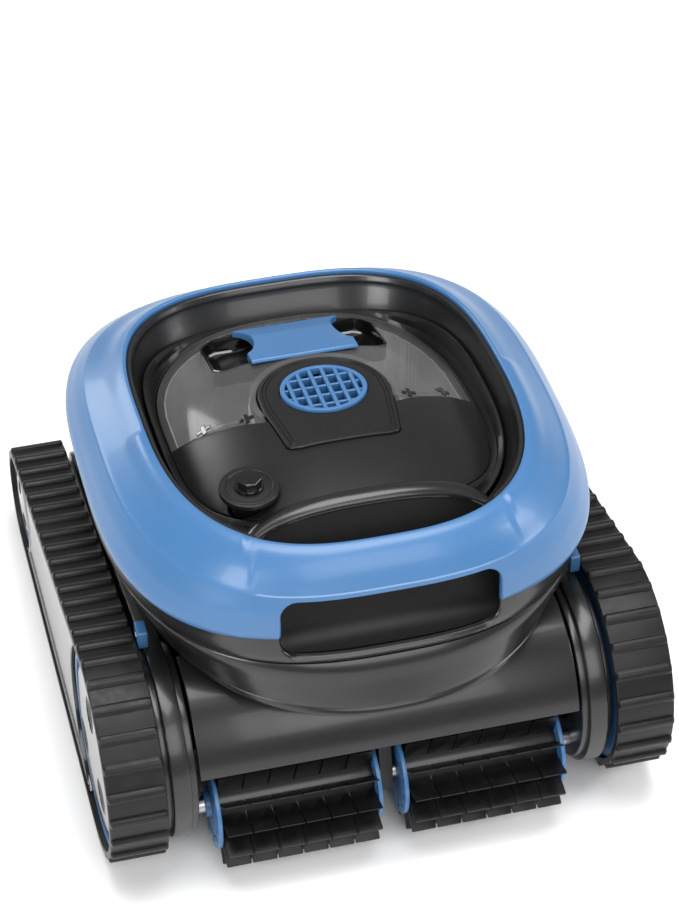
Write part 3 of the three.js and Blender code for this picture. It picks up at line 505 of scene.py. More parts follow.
def dipped(points, depth):
    """An outline let down along the carry handle, ending in a crease at each end."""
    out = np.clip((np.abs(points[:, 0]) - HANDLE_END) / 4.0, 0, 1)
    low = np.where(points[:, 1] < 0, 1 - out**2 * (3 - 2 * out), 0)
    points = points.copy()
    points[:, 2] -= depth * low
    points[:, 1] += 0.5 * depth * low
    return points


def parabola(y, front, rear, levels):
    a = (y - MID_Y) * (y - rear) / ((front - MID_Y) * (front - rear))
    b = (y - front) * (y - rear) / ((MID_Y - front) * (MID_Y - rear))
    c = (y - front) * (y - MID_Y) / ((rear - front) * (rear - MID_Y))
    return a * levels[0] + b * levels[1] + c * levels[2]


def ring(side, front, rear, z, blunt=2.9, blunt_rear=3.0, angles=ANGLES):
    """A rounded-square outline; z is a level, three levels, or a function of x and y."""
    r = superellipse(angles, side, front, rear, blunt, blunt_rear)
    x = r * np.cos(angles)
    y = MID_Y + r * np.sin(angles)
    if callable(z):
        level = z(x, y)
    elif isinstance(z, (tuple, list)):
        level = parabola(y, front, rear, z)
    else:
        level = np.full(len(x), float(z))
    return np.stack([x, y, level], axis=1)


def raised(levels, rise):
    return tuple(z + rise for z in levels)


def rim_ring(inset, rise):
    z = raised(RIM_Z, rise)
    return ring(RIM_SIDE - inset, RIM_FRONT + inset, RIM_REAR - inset, z, 2.81)


def faired(rings, corners, steps=5, loop=True):
    """Smooth curves from ring to ring, bending sharply only at the corners."""
    count = len(rings)
    rows = []
    for i in range(count if loop else count - 1):
        a, b = rings[i], rings[(i + 1) % count]
        reach = np.linalg.norm(b - a, axis=1).mean()

        def slope(here, before, after, sharp, toward):
            if sharp:
                return toward
            back = np.linalg.norm(here - before, axis=1).mean()
            ahead = np.linalg.norm(after - here, axis=1).mean()
            lean = ((here - before) / back * ahead + (after - here) / ahead * back) / (back + ahead)
            return lean * reach

        ends = (0, count - 1) if not loop else ()
        m0 = slope(a, rings[i - 1], b, i in corners or i in ends, b - a)
        j = (i + 1) % count
        m1 = slope(b, a, rings[(i + 2) % count], j in corners or j in ends, b - a)
        for k in range(steps):
            t = k / steps
            h = (2 * t**3 - 3 * t**2 + 1, t**3 - 2 * t**2 + t, -2 * t**3 + 3 * t**2, t**3 - t**2)
            rows.append(h[0] * a + h[1] * m0 + h[2] * b + h[3] * m1)
    if not loop:
        rows.append(rings[-1])
    return rows


def shell(name, rings, corners, finish, steps=5, sharp=32):
    """A closed-section shell carried round the body."""
    rows = faired(rings, corners, steps)
    return new_object(name, np.concatenate(rows), quads(len(rows), len(rows[0]), True), finish, sharp)


# ---------- Flat and domed plates ----------
def offset(points, distance):
    """An anticlockwise outline moved inwards."""
    back = points - np.roll(points, 1, axis=0)
    ahead = np.roll(points, -1, axis=0) - points
    back = back / np.maximum(np.linalg.norm(back, axis=1, keepdims=True), 1e-9)
    ahead = ahead / np.maximum(np.linalg.norm(ahead, axis=1, keepdims=True), 1e-9)
    normal = np.stack([-(back + ahead)[:, 1], (back + ahead)[:, 0]], axis=1)
    length = np.linalg.norm(normal, axis=1, keepdims=True)
    normal = normal / np.maximum(length, 1e-9)
    mitre = np.clip(length / 2, 0.6, 1)
    return points + normal * distance / mitre


def within(points, polygon):
    """Which points lie inside a polygon."""
    x, y = points[:, 0:1], points[:, 1:2]
    a, b = polygon, np.roll(polygon, -1, axis=0)
    crosses = (a[:, 1] > y) != (b[:, 1] > y)
    with np.errstate(divide="ignore", invalid="ignore"):
        at = a[:, 0] + (y - a[:, 1]) * (b[:, 0] - a[:, 0]) / (b[:, 1] - a[:, 1])
    return (crosses & (x < at)).sum(axis=1) % 2 == 1


def resampled(points, spacing, closed=True):
    """An outline with evenly spaced points."""
    p = np.asarray(points, float)
    if closed:
        p = np.concatenate([p, p[:1]])
    run = np.concatenate([[0], np.cumsum(np.linalg.norm(np.diff(p, axis=0), axis=1))])
    count = max(3, int(round(run[-1] / spacing)))
    at = np.linspace(0, run[-1], count, endpoint=not closed)
    return np.stack([np.interp(at, run, p[:, k]) for k in range(p.shape[1])], axis=1)


def softened(points, radius, steps=4, closed=True):
    """An outline with its corners rounded."""
    p = np.asarray(points, float)
    count = len(p)
    radii = radius if hasattr(radius, "__len__") else [radius] * count
    made = []
    for i in range(count):
        if not closed and i in (0, count - 1):
            made.append(p[i])
            continue
        back, ahead = p[i - 1] - p[i], p[(i + 1) % count] - p[i]
        d = min(radii[i], 0.46 * np.linalg.norm(back), 0.46 * np.linalg.norm(ahead))
        if d < 1e-6:
            made.append(p[i])
            continue
        a = p[i] + back / np.linalg.norm(back) * d
        b = p[i] + ahead / np.linalg.norm(ahead) * d
        for k in range(steps + 1):
            t = k / steps
            made.append((1 - t) ** 2 * a + 2 * t * (1 - t) * p[i] + t**2 * b)
    return np.array(made)


def edge(thickness, top=0.6, bottom=0.3):
    """The rim of a plate from its underside, out, up and in to its top: pairs of inset and rise."""
    under = [(bottom, -thickness), (bottom * 0.3, -thickness + bottom * 0.3), (0, -thickness + bottom)]
    return under + [(0, -top), (top * 0.12, -top * 0.5), (top * 0.5, -top * 0.12), (top, 0)]


def plate(name, outline, rim, height, finish, holes=(), spacing=5.0, axes="xy", sharp=32):
    """A plate of any outline with a shaped rim, over a surface. Height gives the top at each point;
    the rim's first pair borders the underside and its last the top. Holes are (outline, rim) pairs."""
    level = height if callable(height) else (lambda u, v: np.full(np.shape(u), float(height)))
    points, faces = [], []

    def add(loop, rise):
        start = sum(len(p) for p in points)
        points.append(np.column_stack([loop, level(loop[:, 0], loop[:, 1]) + rise]))
        return np.arange(start, start + len(loop))

    borders = {0: [], -1: []}
    for outer, (loop, steps) in enumerate([(outline, rim), *holes]):
        sign = 1 if outer == 0 else -1
        rows = [add(offset(loop, sign * inset), rise) for inset, rise in steps]
        for low, high in zip(rows, rows[1:]):
            for i in range(len(low)):
                j = (i + 1) % len(low)
                quad = (low[i], low[j], high[j], high[i])
                faces.append(quad if sign > 0 else quad[::-1])
        borders[0].append((rows[0], offset(loop, sign * steps[0][0])))
        borders[-1].append((rows[-1], offset(loop, sign * steps[-1][0])))
    for end, loops in borders.items():
        known = np.concatenate([ids for ids, _ in loops])
        flat = np.concatenate([loop for _, loop in loops])
        edges, first = [], 0
        for ids, loop in loops:
            edges += [(first + i, first + (i + 1) % len(ids)) for i in range(len(ids))]
            first += len(ids)
        low, high = flat.min(axis=0), flat.max(axis=0)
        us = np.arange(low[0] + spacing / 2, high[0], spacing)
        vs = np.arange(low[1] + spacing / 2, high[1], spacing)
        grid = np.array([(u, v) for u in us for v in vs]).reshape(-1, 2)
        if len(grid):
            keep = within(grid, loops[0][1])
            for _, loop in loops[1:]:
                keep &= ~within(grid, loop)
            near = np.array([((flat - g) ** 2).sum(axis=1).min() for g in grid])
            grid = grid[keep & (near > (0.4 * spacing) ** 2)]
        rise = (rim[0] if end == 0 else rim[-1])[1]
        extra = add(grid, rise) if len(grid) else np.zeros(0, int)
        everything = np.concatenate([flat, grid]) if len(grid) else flat
        ids = np.concatenate([known, extra]).astype(int)
        made = delaunay_2d_cdt([Vector(p) for p in everything], edges, [], 0, 1e-7, True)
        origin = [o[0] if o else None for o in made[3]]
        for face in made[2]:
            corners = [origin[v] for v in face]
            if None in corners or len(set(corners)) < 3:
                continue
            centre = everything[corners].mean(axis=0)[None]
            covered, *open_in = (within(centre, loop)[0] for _, loop in loops)
            if not covered or any(open_in):
                continue
            tri = [ids[c] for c in corners]
            faces.append(tri if end == -1 else tri[::-1])
    p = np.concatenate(points)
    if axes == "yz":
        p = p[:, [2, 0, 1]]
    return new_object(name, p, faces, finish, sharp)


def circle(centre, radius, steps=64, squash=1.0):
    a = np.linspace(0, 2 * np.pi, steps, endpoint=False)
    return np.column_stack([centre[0] + radius * np.cos(a), centre[1] + squash * radius * np.sin(a)])


def lathe(name, profile, finish, centre=(0, 0), steps=96, axis="x", soft=0.5, sharp=32, turn=0.0,
          hollow=False):
    """A turned piece from a profile of (station, radius), about an axis along X or Z through centre.
    A hollow one's profile is a closed loop clear of the axis."""
    line = softened(profile, soft, 3, closed=hollow)
    a = np.linspace(0, 2 * np.pi, steps, endpoint=False) + turn
    rows = []
    for station, radius in line:
        u, v = max(radius, 1e-4) * np.cos(a), max(radius, 1e-4) * np.sin(a)
        if axis == "x":
            rows.append(np.column_stack([np.full(steps, station), centre[0] + u, centre[1] + v]))
        else:
            rows.append(np.column_stack([centre[0] + u, centre[1] + v, np.full(steps, station)]))
    points = np.concatenate(rows)
    faces = quads(len(rows), steps, hollow)
    if not hollow:
        faces.append(tuple(range(steps)))
        faces.append(tuple(range(len(points) - steps, len(points))))
    return new_object(name, points, faces, finish, sharp)


def bar(name, outline, x0, x1, finish, soft=0.8, spacing=6.0):
    """A side outline in Y and Z carried across from x0 to x1, with eased ends."""
    loop = np.asarray(outline, float)
    area = np.sum(loop[:, 0] * np.roll(loop[:, 1], -1) - np.roll(loop[:, 0], -1) * loop[:, 1])
    if area < 0:
        loop = loop[::-1]
    return plate(name, loop, edge(x1 - x0, soft, soft), x1, finish, spacing=spacing, axes="yz")


# ---------- Regions cut from outlines ----------
def region(loops, inside):
    """The outlines of the area where inside(points) holds, the outer one first. Its borders are
    parts of the loops."""
    flat = np.concatenate(loops)
    edges, first = [], 0
    for loop in loops:
        edges += [(first + i, first + (i + 1) % len(loop)) for i in range(len(loop))]
        first += len(loop)
    made = delaunay_2d_cdt([Vector(p) for p in flat], edges, [], 0, 1e-6, True)
    verts = np.array([(v.x, v.y) for v in made[0]])
    centres = np.array([verts[list(face)].mean(axis=0) for face in made[2]])
    half = {}
    for face, keep in zip(made[2], inside(centres)):
        if keep:
            for a, b in zip(face, list(face[1:]) + [face[0]]):
                if half.get(b) and a in half[b]:
                    half[b].discard(a)
                else:
                    half.setdefault(a, set()).add(b)
    found = []
    while any(half.values()):
        here = next(k for k, v in half.items() if v)
        loop = []
        while half.get(here):
            loop.append(here)
            here = half[here].pop()
        found.append(divided(verts[loop]))
    found.sort(key=lambda loop: -abs(area_of(loop)))
    return [loop if area_of(loop) > 0 else loop[::-1] for loop in found]


def area_of(loop):
    return np.sum(loop[:, 0] * np.roll(loop[:, 1], -1) - np.roll(loop[:, 0], -1) * loop[:, 1]) / 2


def divided(loop, spacing=4.0, least=0.35):
    """A closed outline without crowded points or long steps."""
    kept = [loop[0]]
    for p in loop[1:]:
        if np.linalg.norm(p - kept[-1]) > least:
            kept.append(p)
    if np.linalg.norm(kept[-1] - kept[0]) < least:
        kept.pop()
    made = []
    for a, b in zip(kept, kept[1:] + kept[:1]):
        steps = max(1, int(np.linalg.norm(b - a) / spacing))
        made += [a + (b - a) * k / steps for k in range(steps)]
    return np.array(made)


def rounded_box(x0, x1, y0, y1, r, steps=6):
    """An anticlockwise rectangle with round corners."""
    points = []
    corners = ((x1 - r, y0 + r, -90), (x1 - r, y1 - r, 0), (x0 + r, y1 - r, 90), (x0 + r, y0 + r, 180))
    for cx, cy, start in corners:
        for k in range(steps + 1):
            a = math.radians(start + 90 * k / steps)
            points.append((cx + r * math.cos(a), cy + r * math.sin(a)))
    return np.array(points)


def pad_outline(grow):
    """The pump pad: square in front, round behind."""
    half, front, r, corner = 40 + grow, PUMP_Y - 62 - grow, 46 + grow, 9
    points = [(-half + corner, front), (half - corner, front)]
    points += [(half - corner * 0.3, front + corner * 0.16), (half, front + corner * 0.5)]
    points += [(half + 0.5, front + corner), (r, PUMP_Y - 14)]
    for k in range(49):
        a = math.pi * k / 48
        points.append((r * math.cos(a), PUMP_Y + r * math.sin(a)))
    points += [(-r, PUMP_Y - 14), (-half - 0.5, front + corner)]
    points += [(-half, front + corner * 0.5), (-half + corner * 0.3, front + corner * 0.16)]
    return divided(np.array(points), 3)


def well_outline(inset):
    return ring(DECK_SIDE - inset, BASE_FRONT, DECK_REAR - inset, 0, 2.9, WELL_BLUNT)[:, :2]


def front_edge_loop(setback):
    """The lid's front edge, closed far in front of it."""
    y = PUMP_Y - 23.5 + setback
    far = y + 0.4 * 154
    return np.array([(200, far), (46, y), (-46, y), (-200, far), (-200, -300), (200, -300)], float)


def loop_outline(front_r, rear_r, steps=60):
    """The outline round the two wheels, at a distance from their axles, in Y and Z."""
    drop = FRONT_R - REAR_R
    tilt = math.asin((front_r - rear_r) / math.hypot(WHEELBASE, drop))
    fall = math.atan2(drop, WHEELBASE)
    start, end = math.pi / 2 - tilt - fall, 1.5 * math.pi + tilt - fall
    front = np.linspace(start, end, steps + 1)
    rear = np.linspace(end, start + 2 * math.pi, steps + 1)
    loop = [(front_r * math.cos(a), FRONT_R + front_r * math.sin(a)) for a in front]
    loop += [(WHEELBASE + rear_r * math.cos(a), REAR_R + rear_r * math.sin(a)) for a in rear]
    return np.array(loop)


# ---------- Repeats ----------
def repeat_tree():
    """Copies of a shape, each moved along X and turned about X from the one before."""
    tree = bpy.data.node_groups.new("repeat", "GeometryNodeTree")
    face = tree.interface
    for label, kind in (
        ("Geometry", "Geometry"), ("Shape", "Object"), ("Origin", "Vector"), ("Count", "Int"),
        ("Pitch", "Float"), ("Turn", "Float"), ("Start", "Float"), ("Finish", "Material"),
    ):
        face.new_socket(label, in_out="INPUT", socket_type="NodeSocket" + kind)
    face.new_socket("Geometry", in_out="OUTPUT", socket_type="NodeSocketGeometry")
    g = Graph(tree)
    given = g.node("NodeGroupInput", {}, {})
    shape = g.node("GeometryNodeObjectInfo", {}, {"Object": given.out("Shape")})
    back = g.node("ShaderNodeVectorMath", {"operation": "SCALE"}, {0: given.out("Origin"), "Scale": -1})
    moved = g.node("GeometryNodeTransform", {}, {0: shape.out("Geometry"), "Translation": back.out()})
    step = g.node("ShaderNodeCombineXYZ", {}, {"X": given.out("Pitch")})
    inputs = {"Count": given.out("Count"), "Start Location": given.out("Origin"), "Offset": step.out()}
    line = g.node("GeometryNodeMeshLine", {}, inputs)
    index = g.node("GeometryNodeInputIndex", {}, {})
    angle = given.out("Start") + index.out() * given.out("Turn")
    turn = g.node("ShaderNodeCombineXYZ", {}, {"X": angle})
    finish_tree(g, given, line.out(), moved.out(), turn.out())
    return tree


def path_tree():
    """Copies of a shape on the points of a closed path, each turned to run along it."""
    tree = bpy.data.node_groups.new("along_path", "GeometryNodeTree")
    face = tree.interface
    kinds = (("Geometry", "Geometry"), ("Shape", "Object"), ("Origin", "Vector"), ("Finish", "Material"))
    for label, kind in kinds:
        face.new_socket(label, in_out="INPUT", socket_type="NodeSocket" + kind)
    face.new_socket("Geometry", in_out="OUTPUT", socket_type="NodeSocketGeometry")
    g = Graph(tree)
    given = g.node("NodeGroupInput", {}, {})
    shape = g.node("GeometryNodeObjectInfo", {}, {"Object": given.out("Shape")})
    back = g.node("ShaderNodeVectorMath", {"operation": "SCALE"}, {0: given.out("Origin"), "Scale": -1})
    moved = g.node("GeometryNodeTransform", {}, {0: shape.out("Geometry"), "Translation": back.out()})
    curve = g.node("GeometryNodeMeshToCurve", {}, {0: given.out("Geometry")})
    tangent = g.node("GeometryNodeInputTangent", {}, {})
    settings = {"axis": "Y", "pivot_axis": "X"}
    turn = g.node("FunctionNodeAlignRotationToVector", settings, {"Vector": tangent.out()})
    finish_tree(g, given, curve.out(), moved.out(), turn.out())
    return tree


def finish_tree(g, given, points, shape, turn):
    inputs = {"Points": points, "Instance": shape, "Rotation": turn}
    copies = g.node("GeometryNodeInstanceOnPoints", {}, inputs)
    real = g.node("GeometryNodeRealizeInstances", {}, {0: copies.out()})
    inputs = {"Geometry": real.out(), "Material": given.out("Finish")}
    made = g.node("GeometryNodeSetMaterial", {}, inputs)
    g.node("NodeGroupOutput", {}, {0: made.out()})


TREES = {}


def patterned(name, tree, host, shape, finish, **values):
    """Runs a tree of repeats on a host mesh and keeps the outcome as a plain mesh."""
    if tree not in TREES:
        TREES[tree] = repeat_tree() if tree == "repeat" else path_tree()
    made = bpy.data.objects.new(name, host)
    bpy.context.scene.collection.objects.link(made)
    step = made.modifiers.new("pattern", "NODES")
    step.node_group = TREES[tree]
    ids = {item.name: item.identifier for item in TREES[tree].interface.items_tree
           if item.in_out == "INPUT"}
    step[ids["Shape"]] = shape
    step[ids["Finish"]] = FINISHES[finish]
    for key, value in values.items():
        step[ids[key]] = value
    evaluated(made)
    bpy.data.objects.remove(shape)
    made.data.shade_smooth()
    made.data.set_sharp_from_angle(angle=math.radians(32))
    return made


def repeated(name, shape, finish, count, origin=(0, 0, 0), pitch=0.0, turn=0.0, start=0.0):
    """Copies of a shape about (or along) an axis through origin (mm)."""
    values = {"Count": count, "Origin": tuple(row(origin)), "Pitch": pitch / 1000, "Turn": turn,
              "Start": start}
    return patterned(name, "repeat", bpy.data.meshes.new(name), shape, finish, **values)


# ---------- Shells ----------
def lip_cutter(over, fillet, y_end):
    """A hand hole's cutter, flared where it meets the outer surface."""
    bm = bmesh.new()
    for made in over:
        bm.from_mesh(made.data)
    tree = BVHTree.FromBMesh(bm)
    loop = divided(rounded_box(-HAND_HALF, HAND_HALF, HAND_LOW, HAND_TOP, HAND_CORNER, 10), 3)
    surface = []
    for x, z in loop:
        start = Vector(row((x, -160, z)))
        hit = tree.ray_cast(start, Vector((0, 1, 0)))[0]
        surface.append((hit.y - AXLE_Y) * 1000 if hit else -62)
    bm.free()
    surface = np.array(surface)
    rows = []

    def section(grow, y):
        flat = offset(loop, -grow)
        rows.append(np.column_stack([flat[:, 0], y, flat[:, 1]]))

    section(fillet, surface - 30)
    section(fillet, surface - fillet * 0.3)
    for k in range(1, 7):
        a = math.pi / 2 * (k + 1) / 7
        section(fillet * (1 - math.sin(a)), surface + fillet * (1 - math.cos(a)))
    section(0, np.full(len(loop), float(y_end)))
    return tube("hand_cutter", rows, "black")


def build_top_cover(sizes):
    grow = sizes.hand_fillet * 1000
    band_rings = [
        ring(SIDE + 0.2, SEAM_FRONT + 0.4, SEAM_REAR + 0.6, SEAM_Z, 2.7),
        ring(SIDE + 0.9, SEAM_FRONT - 0.2, SEAM_REAR + 1.2, SEAM_Z + 0.7, 2.7),
        ring(SIDE + 2.5, SEAM_FRONT + 2, SEAM_REAR + 2.2, raised(BAND_TOP_Z, -6), 2.85),
        ring(SIDE + 2.2, SEAM_FRONT + 2.8, SEAM_REAR + 2.4, raised(BAND_TOP_Z, -4), 2.9),
        ring(SIDE + 1.5, SEAM_FRONT + 3.6, SEAM_REAR + 1.8, raised(BAND_TOP_Z, -0.3), 2.9),
        ring(SIDE - 1, SEAM_FRONT + 6, SEAM_REAR - 0.5, raised(BAND_TOP_Z, -0.3), 2.9),
        ring(SIDE - 2.6, SEAM_FRONT + 3.2, SEAM_REAR - 2.4, SEAM_Z, 2.7),
    ]
    band = shell("band", band_rings, {0, 4, 5, 6}, "shell", 4)
    rings = [
        ring(SIDE + 3.9, -61.9, SEAM_REAR + 4.4, BAND_TOP_Z, 3.1),
        ring(SIDE + 4.5, -62.5, SEAM_REAR + 5, raised(BAND_TOP_Z, 0.9), 3.1),
        ring(SIDE, -64.5, SEAM_REAR + 1, (228, 222, 204.5), 3),
        ring(SIDE - 9.4, -61.4, SEAM_REAR - 6.2, (245.4, 235.4, 211.6), 2.9),
        dipped(ring(SIDE - 10.8, -60.4, SEAM_REAR - 7.4, (246.3, 236.2, 212.4), 2.9), 0.5),
        dipped(ring(SIDE - 24, -51, SEAM_REAR - 17.5, (262, 245.5, 219), 2.85), 1.0),
        dipped(rim_ring(-4.5, 0) + (0, 0, 1.5) * (ANGLES > 3.3)[:, None], 1.2),
        dipped(rim_ring(-1.6, 1.6), 1.1),
        dipped(rim_ring(-0.4, 0.9), 1.0),
        dipped(rim_ring(0, -0.4), 0.8),
        rim_ring(0, -4),
        ring(RIM_SIDE + 6, -43, SEAM_REAR - 23, raised(RIM_Z, -3.5), 2.82),
        ring(SIDE - 26, -49, SEAM_REAR - 20.5, (260, 243, 216), 2.85),
        ring(SIDE - 13, -58, SEAM_REAR - 10, (244, 232, 208), 2.9),
        ring(SIDE + 1, -59, SEAM_REAR + 1.5, BAND_TOP_Z, 3.1),
    ]
    cover = shell("cover", rings, {0, 3, 4, 9, 10, 11, 14}, "blue", 6, 24)
    cutters = [lip_cutter([cover, band], grow, -34) for _ in range(2)]
    for made, cutter in zip((cover, band), cutters):
        cut(made, cutter, sharp=26)
    settle(cover, "chassis", "blue_gloss", "top_cover")
    settle(band, "chassis", "satin_black", "upper_band")


def build_lower_body(sizes):
    rings = [
        ring(HULL - 13, 28, SEAM_REAR - 38, BELLY_Z, 5),
        ring(HULL - 3, 17, SEAM_REAR - 26, BELLY_Z + 8, 7),
        ring(HULL, 14, SEAM_REAR - 20, 80, 8),
        ring(HULL, 14, SEAM_REAR - 17, LIP_Z - 1, 8),
        ring(SIDE - 14, -79, SEAM_REAR - 4, LIP_Z - 1, 2.25),
        ring(SIDE - 12.6, -80.4, SEAM_REAR - 3.4, LIP_Z - 0.3, 2.25),
        ring(SIDE - 12, -81, SEAM_REAR - 3, LIP_Z + 1, 2.25),
        ring(SIDE - 10.8, -79.4, SEAM_REAR - 2.4, LIP_Z + 4.6, 2.27),
        ring(SIDE - 11.4, -78.4, SEAM_REAR - 3, LIP_Z + 5.3, 2.28),
        ring(SIDE - 10, -78, SEAM_REAR - 2.2, LIP_Z + 6.2, 2.3),
        ring(SIDE - 5, -72, SEAM_REAR - 1, LIP_Z + 22, 2.5),
        ring(SIDE - 0.4, SEAM_FRONT - 0.6, SEAM_REAR - 0.2, SEAM_Z - 2, 2.69),
        ring(SIDE - 0.8, SEAM_FRONT + 0.3, SEAM_REAR - 0.6, SEAM_Z - 1.1, 2.7),
        ring(SIDE - 3, -62, SEAM_REAR - 3, SEAM_Z - 1.1, 2.7),
        ring(SIDE - 8, -69, SEAM_REAR - 4, LIP_Z + 22, 2.5),
        ring(SIDE - 15, -76, SEAM_REAR - 6, LIP_Z + 3, 2.25),
        ring(HULL + 3, 11, SEAM_REAR - 14, LIP_Z + 2.5, 8),
        ring(HULL - 3, 17, SEAM_REAR - 20, LIP_Z - 2, 8),
        ring(HULL - 3, 17, SEAM_REAR - 23, 80, 8),
        ring(HULL - 6, 20, SEAM_REAR - 29, BELLY_Z + 9, 7),
        ring(HULL - 15, 31, SEAM_REAR - 40, BELLY_Z + 3, 5),
    ]
    corners = {3, 4, 7, 9, 12, 13, 15, 16, 17}
    tub = tube("tub", faired(rings, corners, 4, loop=False), "shell")
    mouth = box_object("mouth_cutter", (-60, PUMP_Y + 62, BELLY_Z - 5), (60, PUMP_Y + 92, BELLY_Z + 9))
    cut(tub, mouth)
    settle(tub, "chassis", "satin_black", "lower_tub")


def box_object(name, low, high, finish="black"):
    """A plain box, for cutting."""
    corners = [(x, y, z) for z in (low[2], high[2]) for y in (low[1], high[1]) for x in (low[0], high[0])]
    faces = [(0, 2, 3, 1), (4, 5, 7, 6), (0, 1, 5, 4), (2, 6, 7, 3), (0, 4, 6, 2), (1, 3, 7, 5)]
    return new_object(name, corners, faces, finish)


def shell_front(x, front=SEAM_FRONT + 5.5):
    """How far forward the inside of the upper shell reaches at x."""
    return MID_Y - (MID_Y - front) * (1 - (np.abs(x) / (SIDE - 1)) ** 2.8) ** (1 / 2.8)


def scoop_line(grow):
    """The hand scoop's floor and rear wall in Y and Z, front to back."""
    y0, low = 6 + grow, HAND_LOW - grow
    line = [(-62, low), (-42, low), (-22 + grow, low + 14), (y0 - 6, 238), (y0, 256), (y0 + 0.4, 275)]
    return softened(line, 14, 8, closed=False)


def scoop_cutter():
    line = [tuple(p) for p in scoop_line(3.3)]
    outline = np.array(line + [(line[-1][0], 300), (-90, 300), (-90, line[0][1])])
    return bar("scoop_cutter", outline, -SCOOP_HALF - 0.3, SCOOP_HALF + 0.3, "black", 0.05)


def build_inner_wall(sizes):
    foot = raised(BASE_Z, -5)
    base = ring(BASE_SIDE + 0.6, BASE_FRONT - 0.6, BASE_REAR + 0.6, foot)
    top = rim_ring(3.2, -1.6)

    def between(share, out=0.0):
        p = top * (1 - share) + base * share
        p[:, 2] += out
        return p

    rings = [
        ring(BASE_SIDE + 3, BASE_FRONT - 3, BASE_REAR + 3, foot),
        rim_ring(0.3, -1.8), rim_ring(0.7, -1.3), rim_ring(2.5, -1.3), top,
        between(0.13), between(0.16, -1.1), between(0.5, -1.3), between(0.84, -1.1), between(0.87),
        base,
    ]
    wall = shell("inner_band", rings, {0, 1, 4, 5, 6, 8, 9, 10}, "shell", 3, 20)
    cut(wall, scoop_cutter())
    settle(wall, "chassis", "satin_black", "inner_wall")

    def deck_edge(grow, rise):
        return ring(DECK_SIDE + grow, BASE_FRONT + 8 - grow, DECK_REAR + grow,
                    lambda x, y: deck_z(x, y) + rise, 2.9, WELL_BLUNT)

    def base_edge(shrink, rise):
        z = raised(BASE_Z, rise)
        return ring(BASE_SIDE - shrink, BASE_FRONT + shrink, BASE_REAR - shrink, z)

    rings = [
        deck_edge(0.3, -2.4), base_edge(0.2, -2.4), base_edge(0, -1.2), base_edge(0.3, -0.3),
        base_edge(1.2, 0), deck_edge(1.6, 0.1), deck_edge(0.7, -0.2), deck_edge(0.3, -0.8),
    ]
    rim = shell("well_band", rings, {0, 1}, "black", 3, 40)
    cut(rim, scoop_cutter())
    settle(rim, "chassis", "gloss_black", "well_rim")


# ---------- Deck, pump pad and charging port ----------
def build_deck(sizes):
    edge_loop = ring(DECK_SIDE, BASE_FRONT + 8, DECK_REAR, 0, 2.9, WELL_BLUNT)[:, :2]
    pad = pad_outline(0.3)
    front = front_edge_loop(-0.3)
    side = SCOOP_HALF + 0.3
    hand = np.array([(side, -60), (side, 9.4), (-side, 9.4), (-side, -60)], float)
    hole = circle(CAP, 14.5, 48)

    def inside(p):
        kept = within(p, edge_loop) & within(p, front) & ~within(p, pad)
        return kept & ~within(p, hand) & ~within(p, hole)

    outer, *rest = region([edge_loop, pad, front, hand, hole], inside)
    holes = [(loop, edge(3, 0.5)) for loop in rest if abs(area_of(loop)) > 50]
    deck = plate("deck_skin", outer, edge(3, 0.7), deck_z, "black", holes, 6)
    xs = np.linspace(-83, 83, 61)
    lip = []
    for x in xs:
        y = 12.4 - 6.5 * max(0.0, (abs(x) - 58) / 25) ** 2.4
        z = float(deck_z(x, y))
        lip.append([(x, y + 7.4 * math.cos(a), z - 2.4 + 5.0 * max(-0.4, math.sin(a)))
                    for a in np.linspace(0, 2 * np.pi, 28, endpoint=False)])
    ridge = tube("scoop_ridge", lip, "shell", 50)
    settle(merged("deck", deck, ridge), "chassis", "satin_black", "deck_plate")

    loop = pad_outline(0)
    outlet = circle((0, PUMP_Y), GRILLE_R + 0.3, 96, math.cos(pump_tilt()))
    rim = edge(5, 0.8) + [(2.6, 0), (2.9, -0.55), (3.4, -0.55), (3.7, 0), (5.1, 0), (5.4, -0.55),
                          (5.9, -0.55), (6.2, 0)]
    hole_rim = edge(5, 1.0)
    made = plate("pad", loop, rim, lambda x, y: deck_z(x, y) + 1.4, "black", [(outlet, hole_rim)], 5)
    settle(made, "chassis", "satin_black", "pump_pad")


def build_grille(sizes):
    profile = [(-6, GRILLE_R - 3.4), (-6, GRILLE_R), (0, GRILLE_R), (0, GRILLE_R - 3.4)]
    ring_part = lathe("grille_ring", profile, "blue", (0, 0), 96, "z", 1.0, hollow=True)
    reach = GRILLE_R - 2.2

    def slats(name, count, pitch, half, low, high):
        square = [(-half, low), (half, low), (half, high), (-half, high)]
        section = softened(square, min(half, 1) * 0.9, 4)
        first = -pitch * (count - 1) / 2
        rows = [[(x + first, y, z) for x, z in section] for y in (-reach, reach)]
        return repeated(name, tube("slat", rows, "blue"), "blue", count, pitch=pitch)

    tall = slats("tall_slats", sizes.slats, 54 / sizes.slats, 1.35, -8.6, -0.3)
    low = slats("low_slats", 4, 12, 1.1, -8.9, -2.0)
    flat = Matrix.Translation((0, AXLE_Y, 0)) @ Matrix.Rotation(math.pi / 2, 4, "Z")
    low.data.transform(flat @ Matrix.Translation((0, -AXLE_Y, 0)))
    trimmed = []
    for made in (tall, low):
        disc = lathe("trim", [(-12, reach), (4, reach)], "blue", (0, 0), 96, "z", 0)
        trimmed.append(cut(made, disc, operation="INTERSECT"))
    grille = merged("grille", ring_part, *trimmed)
    shift = Matrix.Translation((0, PUMP_Y / 1000, (float(deck_z(0, PUMP_Y)) + 2.4) / 1000))
    about = Matrix.Translation((0, AXLE_Y, 0))
    turn = about @ Matrix.Rotation(pump_tilt(), 4, "X") @ about.inverted()
    grille.data.transform(shift @ turn)
    settle(grille, "chassis", "blue_gloss", "outlet_grille")


